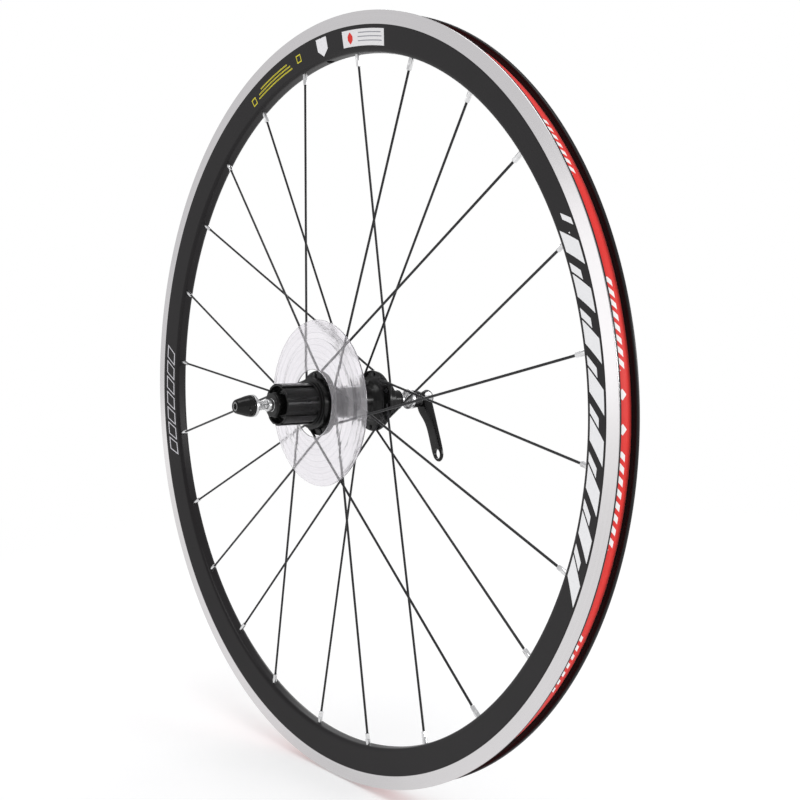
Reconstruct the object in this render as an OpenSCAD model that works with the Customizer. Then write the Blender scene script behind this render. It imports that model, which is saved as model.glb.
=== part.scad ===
// Rear bicycle wheel with a cassette freehub and a quick-release skewer.
// Axle along Y, drive side at -Y, travel direction +X, up +Z.
// The origin is the wheel's centre: on the axle line, midway between the two dropout faces.

/* [Rim] */
// Bead seat diameter of the tyre that fits
bead_seat_d = 622; // [559:1:635]
// Height of the flanges above the bead seat
flange_height = 6; // [5:0.5:8]
// Outer width over the brake tracks
rim_w = 19.6; // [19:0.1:24]
// Radial depth from the flange's edge to the spoke bed
rim_depth = 31; // [27:1:40]
// Radial height of the machined brake track
brake_track_h = 10.5; // [9:0.5:12]
// Wall of the flanges and brake tracks
track_wall = 1.8; // [1.5:0.1:2.4]
// Wall of the sides of the hollow chamber
side_wall = 1.5; // [1.2:0.1:2]
// Wall of the spoke bed
bed_wall = 2.4; // [2:0.1:4]
// Width of the flat part of the spoke bed
bed_w = 8.6; // [7.5:0.2:12]
// Radius of the valve hole
valve_r = 3.25; // [3.1:0.05:4.3]
// Thickness of the rim tape
tape_t = 0.6; // [0.4:0.1:1]

/* [Spokes] */
// Spokes in the wheel, a multiple of four
spoke_count = 24; // [16:4:36]
// Radius of a spoke's wire
spoke_r = 1; // [0.8:0.05:1.15]
// Angle at the hub between a spoke's flange hole and its nipple
lace_angle = 60; // [40:1:75]
// Length of a nipple's shank below the spoke bed
nipple_shank = 9.5; // [7:0.5:12]
// Radius of a nipple's shank
nipple_r = 2; // [1.8:0.1:2.3]

/* [Hub] */
// Distance between the dropout faces
dropout_w = 130; // [126:1:142]
// Place of the drive flange's middle, measured from the wheel's centre plane
drive_flange_y = 18.5; // [16:0.5:21]
// Place of the other flange's middle, measured from the wheel's centre plane
non_drive_flange_y = 38; // [33:0.5:41]
// Thickness of a flange
flange_t = 2.8; // [2.4:0.1:3.6]
// Radius of the drive flange's spoke-hole circle
drive_pitch_r = 24; // [22.5:0.5:28]
// Radius of the other flange's spoke-hole circle
non_drive_pitch_r = 23.2; // [20:0.5:28]
// Material outside the spoke holes
flange_edge = 3.2; // [2.6:0.1:5]
// Outer radius of the hub's barrel
barrel_r = 13.2; // [12.8:0.1:16]

/* [Axle and bearings] */
// Radius of the axle's ends, which sit in the dropouts
stub_r = 5; // [4.5:0.1:5]
// How far each axle end stands out past its dropout face
stub_len = 5; // [3:0.5:6]
// Radius of the axle inside the bearings
axle_r = 7.5; // [7.5:0.1:8.5]
// Outer radius of a hub bearing
hub_bearing_r = 14; // [14:0.1:14.6]
// Width of a hub bearing
hub_bearing_w = 7; // [6:0.5:8]
// Radius of a hub bearing's balls
hub_ball_r = 1.7; // [1.5:0.1:1.8]
// Outer radius of a freehub bearing
freehub_bearing_r = 12; // [12:0.1:12.3]
// Width of a freehub bearing
freehub_bearing_w = 5; // [4.5:0.5:6]
// Radius of a freehub bearing's balls
freehub_ball_r = 1.2; // [1:0.1:1.25]

/* [Freehub] */
// Radius over the cassette splines
spline_r = 17.3; // [17:0.05:17.6]
// Depth of the grooves between the splines
spline_depth = 1.2; // [0.8:0.1:1.4]
// Number of spline grooves
spline_count = 9; // [7:1:11]
// Distance from the drive dropout face to the freehub's outer end
freehub_setback = 5; // [4.2:0.2:7]
// Teeth of the ratchet ring, a multiple of three
ratchet_teeth = 24; // [18:3:24]
// Angle a pawl swings through, from folded to against a tooth
pawl_swing = 16; // [15:0.5:18]

/* [Quick release] */
// Radius of the skewer's rod
skewer_r = 2.45; // [2.3:0.05:2.6]
// Free space between the drive dropout face and the nut's washer
nut_gap = 16; // [13:0.5:18]
// Free space between the other dropout face and the clamp ring
clamp_gap = 11; // [10:0.5:14]
// Radius of the clamping faces
clamp_r = 9; // [8:0.1:10]
// Length of the skewer nut
nut_len = 15.2; // [13:0.2:18]
// Length of the cap, from the clamp ring to the cam shoe
cap_len = 8.2; // [7:0.2:11]
// Radius of the lever's barrel pin
barrel_pin_r = 4.4; // [4.2:0.1:4.8]
// Mean radius of the lever's cam
cam_r = 6.2; // [6.2:0.1:7]
// Offset of the cam's centre from its pin
cam_offset = 0.8; // [0.5:0.1:1]
// Length of the lever from its pin to its tip
lever_len = 59; // [50:1:75]
// Width of the lever
lever_w = 13; // [12.4:0.2:16]
// Turn of the lever about the axle from hanging straight down
lever_turn = 18; // [0:1:40]

/* [Spoke protector] */
// Outer radius of the clear disc
protector_r = 69.5; // [60:0.5:75]
// Thickness of the clear disc
protector_t = 1.1; // [0.9:0.1:1.6]

/* [Hidden] */
$fn = 96;

// clearances
eps = 0.5;              // how far a cutting tool runs past what it cuts
run_gap = 0.05;         // radial gap of a running fit
part_gap = 0.3;         // gap between pieces that move past each other

// rim radii
seat_r = bead_seat_d / 2;
rim_r = seat_r + flange_height;
track_r = rim_r - brake_track_h;
bed_r = rim_r - rim_depth;
well_r = track_r + 0.2;                       // floor of the tyre channel
bridge_t = 1.6;
tyre_channel_w = rim_w - 2 * track_wall;
hook_h = 1.6;
hook_w = 0.7;
ledge_w = 1.4;                                // flat that a tyre bead sits on
tape_crown = 1.4;                             // rise of the tape over the well

// spokes
spoke_pitch = 360 / spoke_count;
nipple_phase = 90 - spoke_pitch / 2;          // the valve hole lies midway between two nipples
spoke_hole_r = spoke_r + 0.25;
spoke_side = flange_t / 2 + spoke_r + 0.12;   // a spoke's line beside its flange
edge_run = 1.9 * flange_edge;                 // length of a spoke that lies over the flange
drive_rise = edge_run * drive_flange_y / (bed_r - drive_pitch_r);
non_drive_rise = edge_run * non_drive_flange_y / (bed_r - non_drive_pitch_r);
nipple_bore_r = spoke_r + 0.02;
nipple_head_h = 3;
nipple_stagger = 2;                           // distance along Y between the two rows of nipples

// hub
face_y = dropout_w / 2;
stub_end_y = face_y + stub_len;
collar_r = 21.5;
ratchet_seat_r = 19.5;
carrier_r = 15.6;
ratchet_tip_r = carrier_r + 0.5;
ratchet_root_r = ratchet_tip_r + 1.2;
drive_bearing_y = drive_flange_y - 10;        // inboard face of the drive bearing, as -Y
drive_bearing_out = drive_bearing_y + hub_bearing_w;
ratchet_in = drive_bearing_out + 1.7;         // inboard face of the ratchet ring, as -Y
ratchet_w = 8.6;
ratchet_out = ratchet_in + ratchet_w;
collar_out = ratchet_out + 1.4;
seal_t = 1.1;
non_drive_bearing_y = non_drive_flange_y + 4.5;
non_drive_bearing_out = non_drive_bearing_y + hub_bearing_w;
boss_r = hub_bearing_r + 3.6;
boss_out = non_drive_bearing_out + 1.2;
hub_bore_r = 11.4;
race_step = 2.1;                              // radial thickness of a hub bearing's races
small_race_step = 1.2;                        // the same in a freehub bearing
groove_gap = 0.05;

// freehub
freehub_out = face_y - freehub_setback;
freehub_lip_in = collar_out + part_gap;
freehub_lip_w = 1.6;
freehub_lip_r = spline_r + 0.8;
inner_bearing_y = freehub_lip_in - 0.9;       // inboard face of the inner freehub bearing, as -Y
inner_bearing_out = inner_bearing_y + freehub_bearing_w;
lockring_depth = 8;
lockring_r = 15.3;
outer_bearing_out = freehub_out - lockring_depth;
outer_bearing_y = outer_bearing_out - freehub_bearing_w;
cap_start = outer_bearing_out;
pawl_pivot_r = 1.5;
pawl_pivot_at = carrier_r - 2;
pawl_tip_angle = -20;
pawl_w = ratchet_w - 2;
pawl_mid_y = -(ratchet_in + ratchet_out) / 2;

// quick release
washer_face_y = face_y + nut_gap;
washer_t = 2.6;
nut_y = washer_face_y + washer_t;
nut_end_y = nut_y + nut_len;
rod_end_y = nut_end_y - 5;
ring_y = face_y + clamp_gap;
ring_t = 3;
cap_y = ring_y + ring_t;
cap_end_y = cap_y + cap_len;
shoe_r = 6.5;
shoe_seat = 2.2;
shoe_t = 1.4;
shoe_gap = 0.3;
shoe_curve_r = 12;                            // radius of the shoe's hollow face
pin_y = cap_end_y + shoe_t + shoe_gap + cam_r + cam_offset;
pin_len = 14.4;
cheek_gap = skewer_r + 0.5;
tip_hole_r = 4.2;
spring_wire_r = 0.45;

// spoke protector
protector_in_r = drive_pitch_r + flange_edge + 1;

// ---------- helpers ----------

// a ring, tube or disc about the axle, between two places on Y
module tube_y(y0, y1, r_out, r_in = 0) {
    translate([0, y0, 0]) rotate([-90, 0, 0])
        difference() {
            cylinder(r = r_out, h = y1 - y0);
            if (r_in > 0) translate([0, 0, -eps]) cylinder(r = r_in, h = y1 - y0 + 2 * eps);
        }
}

// a profile of [radius, y] points turned about the axle
module turned(points) {
    rotate([-90, 0, 0]) rotate_extrude($fn = 180) polygon(points);
}

// a flat shape in X and Z, given thickness along Y
module plate_y(y0, y1) {
    translate([0, y1, 0]) rotate([90, 0, 0]) linear_extrude(y1 - y0) children();
}

// turned about the axle from +X towards +Z
module at_angle(a) rotate([0, -a, 0]) children();

// a rod between two points
module rod_between(p, q, r, $fn = 24) {
    d = q - p;
    translate(p)
        rotate([0, acos(d[2] / norm(d)), atan2(d[1], d[0])])
            cylinder(r = r, h = norm(d));
}

// a point in polar form about the axle
function on_circle(r, a, y) = [r * cos(a), y, r * sin(a)];

// a point a distance from p towards q
function toward(p, q, s) = p + (q - p) * (s / norm(q - p));

// ---------- bearings ----------

// inner race between bore and ball track, with a ball groove
module inner_race(y0, w, bore, step, pitch, ball) {
    difference() {
        tube_y(y0, y0 + w, bore + step, bore);
        ball_groove(y0 + w / 2, pitch, ball);
    }
}

// outer race, with a ball groove
module outer_race(y0, w, outside, step, pitch, ball) {
    difference() {
        tube_y(y0, y0 + w, outside, outside - step);
        ball_groove(y0 + w / 2, pitch, ball);
    }
}

module ball_groove(y, pitch, ball) {
    translate([0, y, 0]) rotate([-90, 0, 0])
        rotate_extrude($fn = 96) translate([pitch, 0]) circle(r = ball + groove_gap, $fn = 48);
}

module ball_ring(y, pitch, ball, count) {
    for (i = [0 : count - 1])
        translate(on_circle(pitch, i * 360 / count, y)) sphere(r = ball, $fn = 24);
}

// a crown cage: a ring beside the balls with round pockets that hold them apart
module ball_cage(y, pitch, ball, count) {
    difference() {
        tube_y(y + ball * 0.5, y + ball + 0.45, pitch + 0.45, pitch - 0.45);
        for (i = [0 : count - 1])
            translate(on_circle(pitch, i * 360 / count, y)) sphere(r = ball + groove_gap, $fn = 24);
    }
}

module seal_pair(y0, w, r_out, r_in) {
    for (y = [y0 + 0.2, y0 + w - 0.6]) tube_y(y, y + 0.4, r_out, r_in);
}

hub_pitch = (axle_r + hub_bearing_r) / 2;
hub_ball_count = 11;
freehub_pitch = (axle_r + freehub_bearing_r) / 2;
freehub_ball_count = 15;
hub_bearing_places = [-drive_bearing_out, non_drive_bearing_y];
freehub_bearing_places = [-inner_bearing_out, -outer_bearing_out];

module hub_bearing_inner_races() color("silver")
    for (y = hub_bearing_places)
        inner_race(y, hub_bearing_w, axle_r, race_step, hub_pitch, hub_ball_r);

module hub_bearing_outer_races() color("silver")
    for (y = hub_bearing_places)
        outer_race(y, hub_bearing_w, hub_bearing_r, race_step, hub_pitch, hub_ball_r);

module hub_bearing_balls() color("gainsboro")
    for (y = hub_bearing_places)
        ball_ring(y + hub_bearing_w / 2, hub_pitch, hub_ball_r, hub_ball_count);

module hub_bearing_cages() color("goldenrod")
    for (y = hub_bearing_places)
        ball_cage(y + hub_bearing_w / 2, hub_pitch, hub_ball_r, hub_ball_count);

module hub_bearing_seals() color("dimgray")
    for (y = hub_bearing_places)
        seal_pair(y, hub_bearing_w, hub_bearing_r - race_step, axle_r + race_step + 0.15);

module freehub_bearing_inner_races() color("silver")
    for (y = freehub_bearing_places)
        inner_race(y, freehub_bearing_w, axle_r, small_race_step, freehub_pitch, freehub_ball_r);

module freehub_bearing_outer_races() color("silver")
    for (y = freehub_bearing_places)
        outer_race(y, freehub_bearing_w, freehub_bearing_r, small_race_step,
                   freehub_pitch, freehub_ball_r);

module freehub_bearing_balls() color("gainsboro")
    for (y = freehub_bearing_places)
        ball_ring(y + freehub_bearing_w / 2, freehub_pitch, freehub_ball_r, freehub_ball_count);

module freehub_bearing_cages() color("goldenrod")
    for (y = freehub_bearing_places)
        ball_cage(y + freehub_bearing_w / 2, freehub_pitch, freehub_ball_r, freehub_ball_count);

module freehub_bearing_seals() color("dimgray")
    for (y = freehub_bearing_places)
        seal_pair(y, freehub_bearing_w, freehub_bearing_r - small_race_step,
                  axle_r + small_race_step + 0.15);

// ---------- axle ----------

axle_bore_r = skewer_r + 0.35;
cap_seat_r = stub_r + 0.3;                    // the axle under its end caps
shoulder_w = 2.5;
shoulder_r = axle_r + 1.3;
drive_step_y = -(face_y - 5);
non_drive_step_y = non_drive_bearing_out;

module axle() color("silver")
    turned([
        [axle_bore_r, -stub_end_y], [stub_r - 0.5, -stub_end_y], [stub_r, -stub_end_y + 0.5],
        [stub_r, -face_y], [cap_seat_r, -face_y],
        [cap_seat_r, drive_step_y], [axle_r, drive_step_y],
        [axle_r, -drive_bearing_y], [shoulder_r, -drive_bearing_y],
        [shoulder_r, -drive_bearing_y + shoulder_w], [axle_r, -drive_bearing_y + shoulder_w],
        [axle_r, non_drive_bearing_y - shoulder_w], [shoulder_r, non_drive_bearing_y - shoulder_w],
        [shoulder_r, non_drive_bearing_y], [axle_r, non_drive_bearing_y],
        [axle_r, non_drive_step_y], [cap_seat_r, non_drive_step_y],
        [cap_seat_r, face_y], [stub_r, face_y],
        [stub_r, stub_end_y - 0.5], [stub_r - 0.5, stub_end_y], [axle_bore_r, stub_end_y]
    ]);

cap_face_r = 9.6;
cap_rim_r = 10.5;
cap_hub_r = axle_r + small_race_step - 0.1;

// the stepped cap that stands in the freehub's mouth, with a knurled dropout face
module drive_end_cap() color([0.05, 0.05, 0.055])
    difference() {
        turned([
            [cap_seat_r, -face_y], [cap_face_r, -face_y], [cap_rim_r, -face_y + 1],
            [cap_rim_r, -face_y + 3], [cap_hub_r + 0.6, -face_y + 4.4],
            [cap_hub_r, -face_y + 4.4], [cap_hub_r, -cap_start],
            [axle_r, -cap_start], [axle_r, drive_step_y], [cap_seat_r, drive_step_y]
        ]);
        for (s = [-1, 1])
            translate([-cap_rim_r, -face_y - eps, s * (cap_rim_r - 0.9) - (s < 0 ? 2 : 0)])
                cube([2 * cap_rim_r, 3 + eps, 2]);
    }

sleeve_r = 8.8;

module non_drive_end_cap() color([0.05, 0.05, 0.055])
    turned([
        [cap_seat_r, non_drive_step_y], [sleeve_r - 0.4, non_drive_step_y],
        [sleeve_r, non_drive_step_y + 0.4], [sleeve_r, face_y - 0.6],
        [sleeve_r - 0.6, face_y], [cap_seat_r, face_y]
    ]);

module bearing_spacer() color("silver")
    tube_y(-inner_bearing_y, -drive_bearing_out, axle_r + small_race_step - 0.1, axle_r);

module freehub_spacer() color("silver")
    tube_y(-outer_bearing_y, -inner_bearing_out, axle_r + small_race_step - 0.1, axle_r);

// ---------- hub ----------

drive_in = -drive_flange_y + flange_t / 2;
drive_out = -drive_flange_y - flange_t / 2;
non_drive_in = non_drive_flange_y - flange_t / 2;
non_drive_out = non_drive_flange_y + flange_t / 2;
drive_flange_r = drive_pitch_r + flange_edge;
non_drive_flange_r = non_drive_pitch_r + flange_edge;
holes_per_flange = spoke_count / 2;

// hub angle of the first hole of each flange
drive_hole_phase = nipple_phase + spoke_pitch + lace_angle;
non_drive_hole_phase = nipple_phase + 2 * spoke_pitch + lace_angle;

module hub_shell() color([0.04, 0.04, 0.045])
    difference() {
        turned([
            // outside, from the drive side
            [ratchet_seat_r, -collar_out], [collar_r - 0.5, -collar_out],
            [collar_r, -collar_out + 0.5], [collar_r, drive_out - 0.6],
            [collar_r + 0.6, drive_out], [drive_flange_r - 0.7, drive_out],
            [drive_flange_r, drive_out + 0.7], [drive_flange_r, drive_in - 0.7],
            [drive_flange_r - 0.7, drive_in], [collar_r - 0.8, drive_in],
            [collar_r - 3.2, drive_in + 2], [hub_bearing_r + 2.2, -drive_bearing_y],
            [barrel_r + 1, -drive_bearing_y + 4.2], [barrel_r, -drive_bearing_y + 8],
            [barrel_r, non_drive_in - 8], [barrel_r + 1.2, non_drive_in - 4.5],
            [barrel_r + 3.4, non_drive_in - 1.4], [barrel_r + 5.4, non_drive_in],
            [non_drive_flange_r - 0.7, non_drive_in],
            [non_drive_flange_r, non_drive_in + 0.7], [non_drive_flange_r, non_drive_out - 0.7],
            [non_drive_flange_r - 0.7, non_drive_out], [boss_r + 2.6, non_drive_out],
            [boss_r + 0.9, non_drive_out + 1.6], [boss_r, non_drive_out + 4],
            [boss_r, boss_out - 1], [boss_r - 1, boss_out],
            // inside, back to the drive side
            [hub_bearing_r, boss_out], [hub_bearing_r, non_drive_bearing_y],
            [hub_bore_r, non_drive_bearing_y], [hub_bore_r, -drive_bearing_y],
            [hub_bearing_r, -drive_bearing_y], [hub_bearing_r, -ratchet_in],
            [ratchet_seat_r, -ratchet_in]
        ]);
        for (i = [0 : holes_per_flange - 1]) {
            spoke_hole(drive_hole_phase, i, drive_pitch_r, -drive_flange_y);
            spoke_hole(non_drive_hole_phase, i, non_drive_pitch_r, non_drive_flange_y);
        }
    }

module spoke_hole(phase, i, r, y)
    translate(on_circle(r, phase + i * 2 * spoke_pitch, y)) rotate([90, 0, 0])
        cylinder(r = spoke_hole_r, h = flange_t + 2 * eps, center = true, $fn = 24);

// saw teeth inside a ring: each tooth drops steeply on its -angle side
tooth_pitch = 360 / ratchet_teeth;
tooth_phase = pawl_tip_angle - 1;
tooth_rake = 1.8;                             // lean of a tooth's steep face, as an angle at the axle

module ratchet_ring() color("gray")
    plate_y(-ratchet_out, -ratchet_in)
        difference() {
            circle(r = ratchet_seat_r, $fn = 180);
            polygon([for (i = [0 : ratchet_teeth - 1])
                each let (a = tooth_phase + i * tooth_pitch) [
                    ratchet_root_r * [cos(a), sin(a)],
                    ratchet_tip_r * [cos(a + tooth_pitch - tooth_rake),
                                     sin(a + tooth_pitch - tooth_rake)]
                ]]);
        }

module freehub_seal() color([0.08, 0.08, 0.08])
    tube_y(-ratchet_out - seal_t - 0.1, -ratchet_out - 0.1, ratchet_seat_r, carrier_r + 0.4);

module non_drive_seal() color([0.08, 0.08, 0.08])
    tube_y(non_drive_bearing_out + 0.1, boss_out - 0.1, hub_bearing_r, sleeve_r + part_gap);

// ---------- rim ----------

half_w = rim_w / 2;
half_channel = tyre_channel_w / 2;
half_bed = bed_w / 2;
side_turn_r = track_r - 1.2;
corner = 2.6;

// a corner of the bed, rounded by an arc of points from the side to the bed
function bed_corner(s) = [for (i = [0 : 6])
    let (a = i * 90 / 6)
    [bed_r + corner * (1 - sin(a)), s * (half_bed + 1 - corner + corner * cos(a))]];

module rim_outline() {
    polygon(concat(
        [[rim_r - 0.3, -half_w], [track_r, -half_w], [side_turn_r, -half_w + 0.35]],
        bed_corner(-1),
        [for (i = [6 : -1 : 0]) bed_corner(1)[i]],
        [[side_turn_r, half_w - 0.35], [track_r, half_w], [rim_r - 0.3, half_w],
         [rim_r, half_w - 0.4], [rim_r, half_channel + 0.2],
         [rim_r - 0.5, half_channel - hook_w], [rim_r - hook_h, half_channel - hook_w],
         [rim_r - hook_h - 0.8, half_channel], [seat_r, half_channel],
         [seat_r, half_channel - ledge_w], [seat_r - 1, half_channel - ledge_w - 0.4],
         [well_r, half_channel - ledge_w - 1.2],
         [well_r, -half_channel + ledge_w + 1.2], [seat_r - 1, -half_channel + ledge_w + 0.4],
         [seat_r, -half_channel + ledge_w], [seat_r, -half_channel],
         [rim_r - hook_h - 0.8, -half_channel], [rim_r - hook_h, -half_channel + hook_w],
         [rim_r - 0.5, -half_channel + hook_w], [rim_r, -half_channel - 0.2],
         [rim_r, -half_w + 0.4]]
    ));
}

// the hollow chamber between the bridge and the spoke bed
module chamber_outline() {
    top = well_r - bridge_t;
    floor_r = bed_r + bed_wall;
    polygon([
        [top, half_w - side_wall - 1.6], [side_turn_r - 3, half_w - side_wall - 1.3],
        [floor_r + 3, half_bed + 1.6 - side_wall], [floor_r, half_bed - 0.6],
        [floor_r, -half_bed + 0.6], [floor_r + 3, -half_bed - 1.6 + side_wall],
        [side_turn_r - 3, -half_w + side_wall + 1.3], [top, -half_w + side_wall + 1.6]
    ]);
}

module rim() color([0.13, 0.125, 0.13])
    difference() {
        rotate([-90, 0, 0]) rotate_extrude($fn = 240) difference() {
            rim_outline();
            chamber_outline();
        }
        valve_drill(valve_r);
        for (i = [0 : spoke_count - 1]) {
            along_spoke(i) translate([0, 0, -4])
                cylinder(r = nipple_r + 0.12, h = bed_wall + 12, $fn = 32);
            nipple_access(i);
        }
    }

module valve_drill(r)
    translate([0, 0, bed_r - 5]) cylinder(r = r, h = rim_depth + 10, $fn = 48);

// the larger hole in the bridge that a nipple is put in through
module nipple_access(i)
    at_angle(nipple_phase + i * spoke_pitch) translate([well_r - bridge_t - 3, 0, 0])
        rotate([0, 90, 0]) cylinder(r = 4.2, h = bridge_t + 5, $fn = 32);

module rim_tape() color([0.8, 0.08, 0.1])
    difference() {
        rotate([-90, 0, 0]) rotate_extrude($fn = 240) tape_outline();
        valve_drill(valve_r + 0.1);
    }

// the tape lies on both bead ledges and bulges a little over the well between them
module tape_outline() {
    half = half_channel - 0.3;
    steps = 12;
    function bulge(y) = seat_r + tape_crown * (1 - pow(y / half, 2));
    low = [for (i = [0 : steps]) let (y = half * (2 * i / steps - 1)) [bulge(y), y]];
    high = [for (i = [steps : -1 : 0]) let (y = half * (2 * i / steps - 1)) [bulge(y) + tape_t, y]];
    polygon(concat(low, high));
}

// ---------- spokes and nipples ----------

// nipples with an odd number belong to the drive flange; a turn of +1 trails and -1 leads
function is_drive(i) = i % 2 == 1;
function turn_of(i) = is_drive(i) ? (i % 4 == 1 ? 1 : -1) : (i % 4 == 2 ? 1 : -1);
function flange_mid(i) = is_drive(i) ? -drive_flange_y : non_drive_flange_y;
function outboard(i) = is_drive(i) ? -1 : 1;
function pitch_r_of(i) = is_drive(i) ? drive_pitch_r : non_drive_pitch_r;
function nipple_angle(i) = nipple_phase + i * spoke_pitch;
function hole_angle(i) = nipple_angle(i) + turn_of(i) * lace_angle;

// trailing spokes run inside their flange and leading ones outside it
function run_side(i) = turn_of(i) > 0 ? -outboard(i) : outboard(i);
function rise_of(i) = turn_of(i) > 0 ? 0 : (is_drive(i) ? drive_rise : non_drive_rise);
function bend_point(i) = on_circle(pitch_r_of(i), hole_angle(i),
                                   flange_mid(i) + run_side(i) * (spoke_side + rise_of(i)));
function seat_point(i) = on_circle(bed_r, nipple_angle(i), outboard(i) * nipple_stagger / 2);

// the frame of a spoke at its seat in the rim: +Z points outwards along the spoke
module along_spoke(i) {
    d = seat_point(i) - bend_point(i);
    translate(seat_point(i))
        rotate([0, acos(d[2] / norm(d)), atan2(d[1], d[0])])
            children();
}

module spoke(i) {
    p = bend_point(i);
    head_y = flange_mid(i) - run_side(i) * (flange_t / 2);
    foot = [p[0], head_y, p[2]];
    union() {
        rod_between(p, toward(p, seat_point(i), norm(seat_point(i) - p) + bed_wall), spoke_r);
        translate(p) sphere(r = 1.08 * spoke_r, $fn = 24);
        rod_between(p, foot + [0, -run_side(i) * 0.1, 0], spoke_r);
        rod_between(foot, foot + [0, -run_side(i) * 0.9, 0], 2 * spoke_r);
    }
}

module spoke_set(first) color([0.09, 0.09, 0.095])
    for (i = [first : 4 : spoke_count - 1]) spoke(i);

module drive_trailing_spokes() spoke_set(1);
module drive_leading_spokes() spoke_set(3);
module non_drive_trailing_spokes() spoke_set(2);
module non_drive_leading_spokes() spoke_set(0);

// shank with a round head that rests on the bed inside the chamber
module nipple(i)
    along_spoke(i)
        difference() {
            union() {
                translate([0, 0, -nipple_shank])
                    cylinder(r = nipple_r, h = nipple_shank + bed_wall + 0.6, $fn = 32);
                translate([0, 0, bed_wall + 0.4])
                    cylinder(r = nipple_r + 0.9, h = nipple_head_h, $fn = 32);
            }
            translate([0, 0, -nipple_shank - eps])
                cylinder(r = nipple_bore_r, h = nipple_shank + bed_wall + nipple_head_h + 2,
                         $fn = 24);
        }

module drive_nipples() color("silver")
    for (i = [1 : 2 : spoke_count - 1]) nipple(i);

module non_drive_nipples() color("silver")
    for (i = [0 : 2 : spoke_count - 1]) nipple(i);

// ---------- spoke protector ----------

// outer side of the leading drive spokes at a radius, where the disc rests
disc_start_y = -drive_flange_y - spoke_side - drive_rise - spoke_r - part_gap;
disc_slope = (drive_flange_y + spoke_side) / (bed_r - drive_pitch_r);
function disc_y(r) = disc_start_y + disc_slope * (r - drive_pitch_r) * 0.9;

// radius and outward step of each ring of the pressed disc
function disc_ring(i) = protector_in_r + (protector_r - protector_in_r) * i / 8;
function disc_step(i) = [1.4, 0, 0, 1.2, 1.2, 0, 0.9, 0.9, 0][i];

module spoke_protector() color([0.86, 0.84, 0.88, 0.35])
    turned(concat(
        [for (i = [0 : 8]) [disc_ring(i), disc_y(disc_ring(i)) - disc_step(i)]],
        [for (i = [8 : -1 : 0])
            [disc_ring(i), disc_y(disc_ring(i)) - disc_step(i) - protector_t]]
    ));

// ---------- freehub ----------

module freehub_body() color([0.05, 0.05, 0.055])
    difference() {
        turned([
            [lockring_r + 0.5, -freehub_out], [spline_r - 0.6, -freehub_out],
            [spline_r, -freehub_out + 0.6], [spline_r, -freehub_lip_in - freehub_lip_w],
            [freehub_lip_r, -freehub_lip_in - freehub_lip_w], [freehub_lip_r, -freehub_lip_in],
            [carrier_r, -freehub_lip_in], [carrier_r, -ratchet_in - 0.5],
            [axle_r + small_race_step + 0.4, -ratchet_in - 0.5],
            [axle_r + small_race_step + 0.4, -inner_bearing_y],
            [freehub_bearing_r, -inner_bearing_y], [freehub_bearing_r, -inner_bearing_out],
            [freehub_bearing_r - 0.8, -inner_bearing_out],
            [freehub_bearing_r - 0.8, -outer_bearing_y],
            [freehub_bearing_r, -outer_bearing_y], [freehub_bearing_r, -outer_bearing_out],
            [lockring_r, -outer_bearing_out], [lockring_r, -freehub_out + 0.5]
        ]);
        for (i = [0 : spline_count - 1]) spline_groove(i);
        for (k = [0 : 2]) pawl_pocket(k);
    }

// a straight groove between two splines; the first is the narrow one
module spline_groove(i) {
    w = i == 0 ? 2.2 : 3.6;
    at_angle(i * 360 / spline_count + 14)
        translate([spline_r - spline_depth, -freehub_out - eps, -w / 2])
            cube([spline_depth + 2, freehub_out - freehub_lip_in - freehub_lip_w - eps, w]);
}

// a pocket for a pawl, open at the carrier's inboard face
module pawl_pocket(k)
    at_angle(120 * k)
        plate_y(pawl_mid_y - pawl_w / 2 - 0.2, -ratchet_in) {
            translate([pawl_pivot_at, 0]) circle(r = pawl_pivot_r + run_gap, $fn = 32);
            polygon([
                [pawl_pivot_at - 2, -0.9], [pawl_pivot_at - 2.4, -7.4],
                [carrier_r + 2, -7.6], [carrier_r + 2, 0.6], [pawl_pivot_at + 1.2, 0.6]
            ]);
        }

// the pawl, folded: a round pivot and a finger whose tip swings out against a tooth
module pawl(k) color("silver")
    at_angle(120 * k)
        plate_y(pawl_mid_y - pawl_w / 2, pawl_mid_y + pawl_w / 2)
            translate([pawl_pivot_at, 0]) rotate(-pawl_swing) translate([-pawl_pivot_at, 0])
                pawl_shape();

// the outline of a pawl with its tip against a tooth
module pawl_shape() {
    tip = [cos(pawl_tip_angle), sin(pawl_tip_angle)];
    translate([pawl_pivot_at, 0]) circle(r = pawl_pivot_r, $fn = 32);
    polygon([
        [pawl_pivot_at + 1.48, 0.1], [pawl_pivot_at - 0.6, -1.3],
        (ratchet_root_r - 2.3) * tip, (ratchet_root_r - 0.2) * tip
    ]);
}

module pawl_1() pawl(0);
module pawl_2() pawl(1);
module pawl_3() pawl(2);

// a thin leaf on the floor of each pocket that pushes its pawl out
module pawl_springs() color("silver")
    for (k = [0 : 2])
        at_angle(120 * k)
            plate_y(pawl_mid_y - 1.5, pawl_mid_y + 1.5)
                polygon([
                    [pawl_pivot_at - 1.85, -1.6], [pawl_pivot_at - 1.25, -6.4],
                    [pawl_pivot_at - 1.55, -6.4], [pawl_pivot_at - 2.02, -1.6]
                ]);

// ---------- quick release ----------

module turned_lever() at_angle(lever_turn) children();

module skewer_rod() color("silver")
    tube_y(-rod_end_y, pin_y + 3, skewer_r);

module cam_barrel_pin() color("silver")
    turned_lever()
        difference() {
            translate([-pin_len / 2, pin_y, 0]) rotate([0, 90, 0])
                cylinder(r = barrel_pin_r, h = pin_len, $fn = 64);
            tube_y(pin_y - barrel_pin_r - eps, pin_y + 3, skewer_r);
        }

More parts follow.
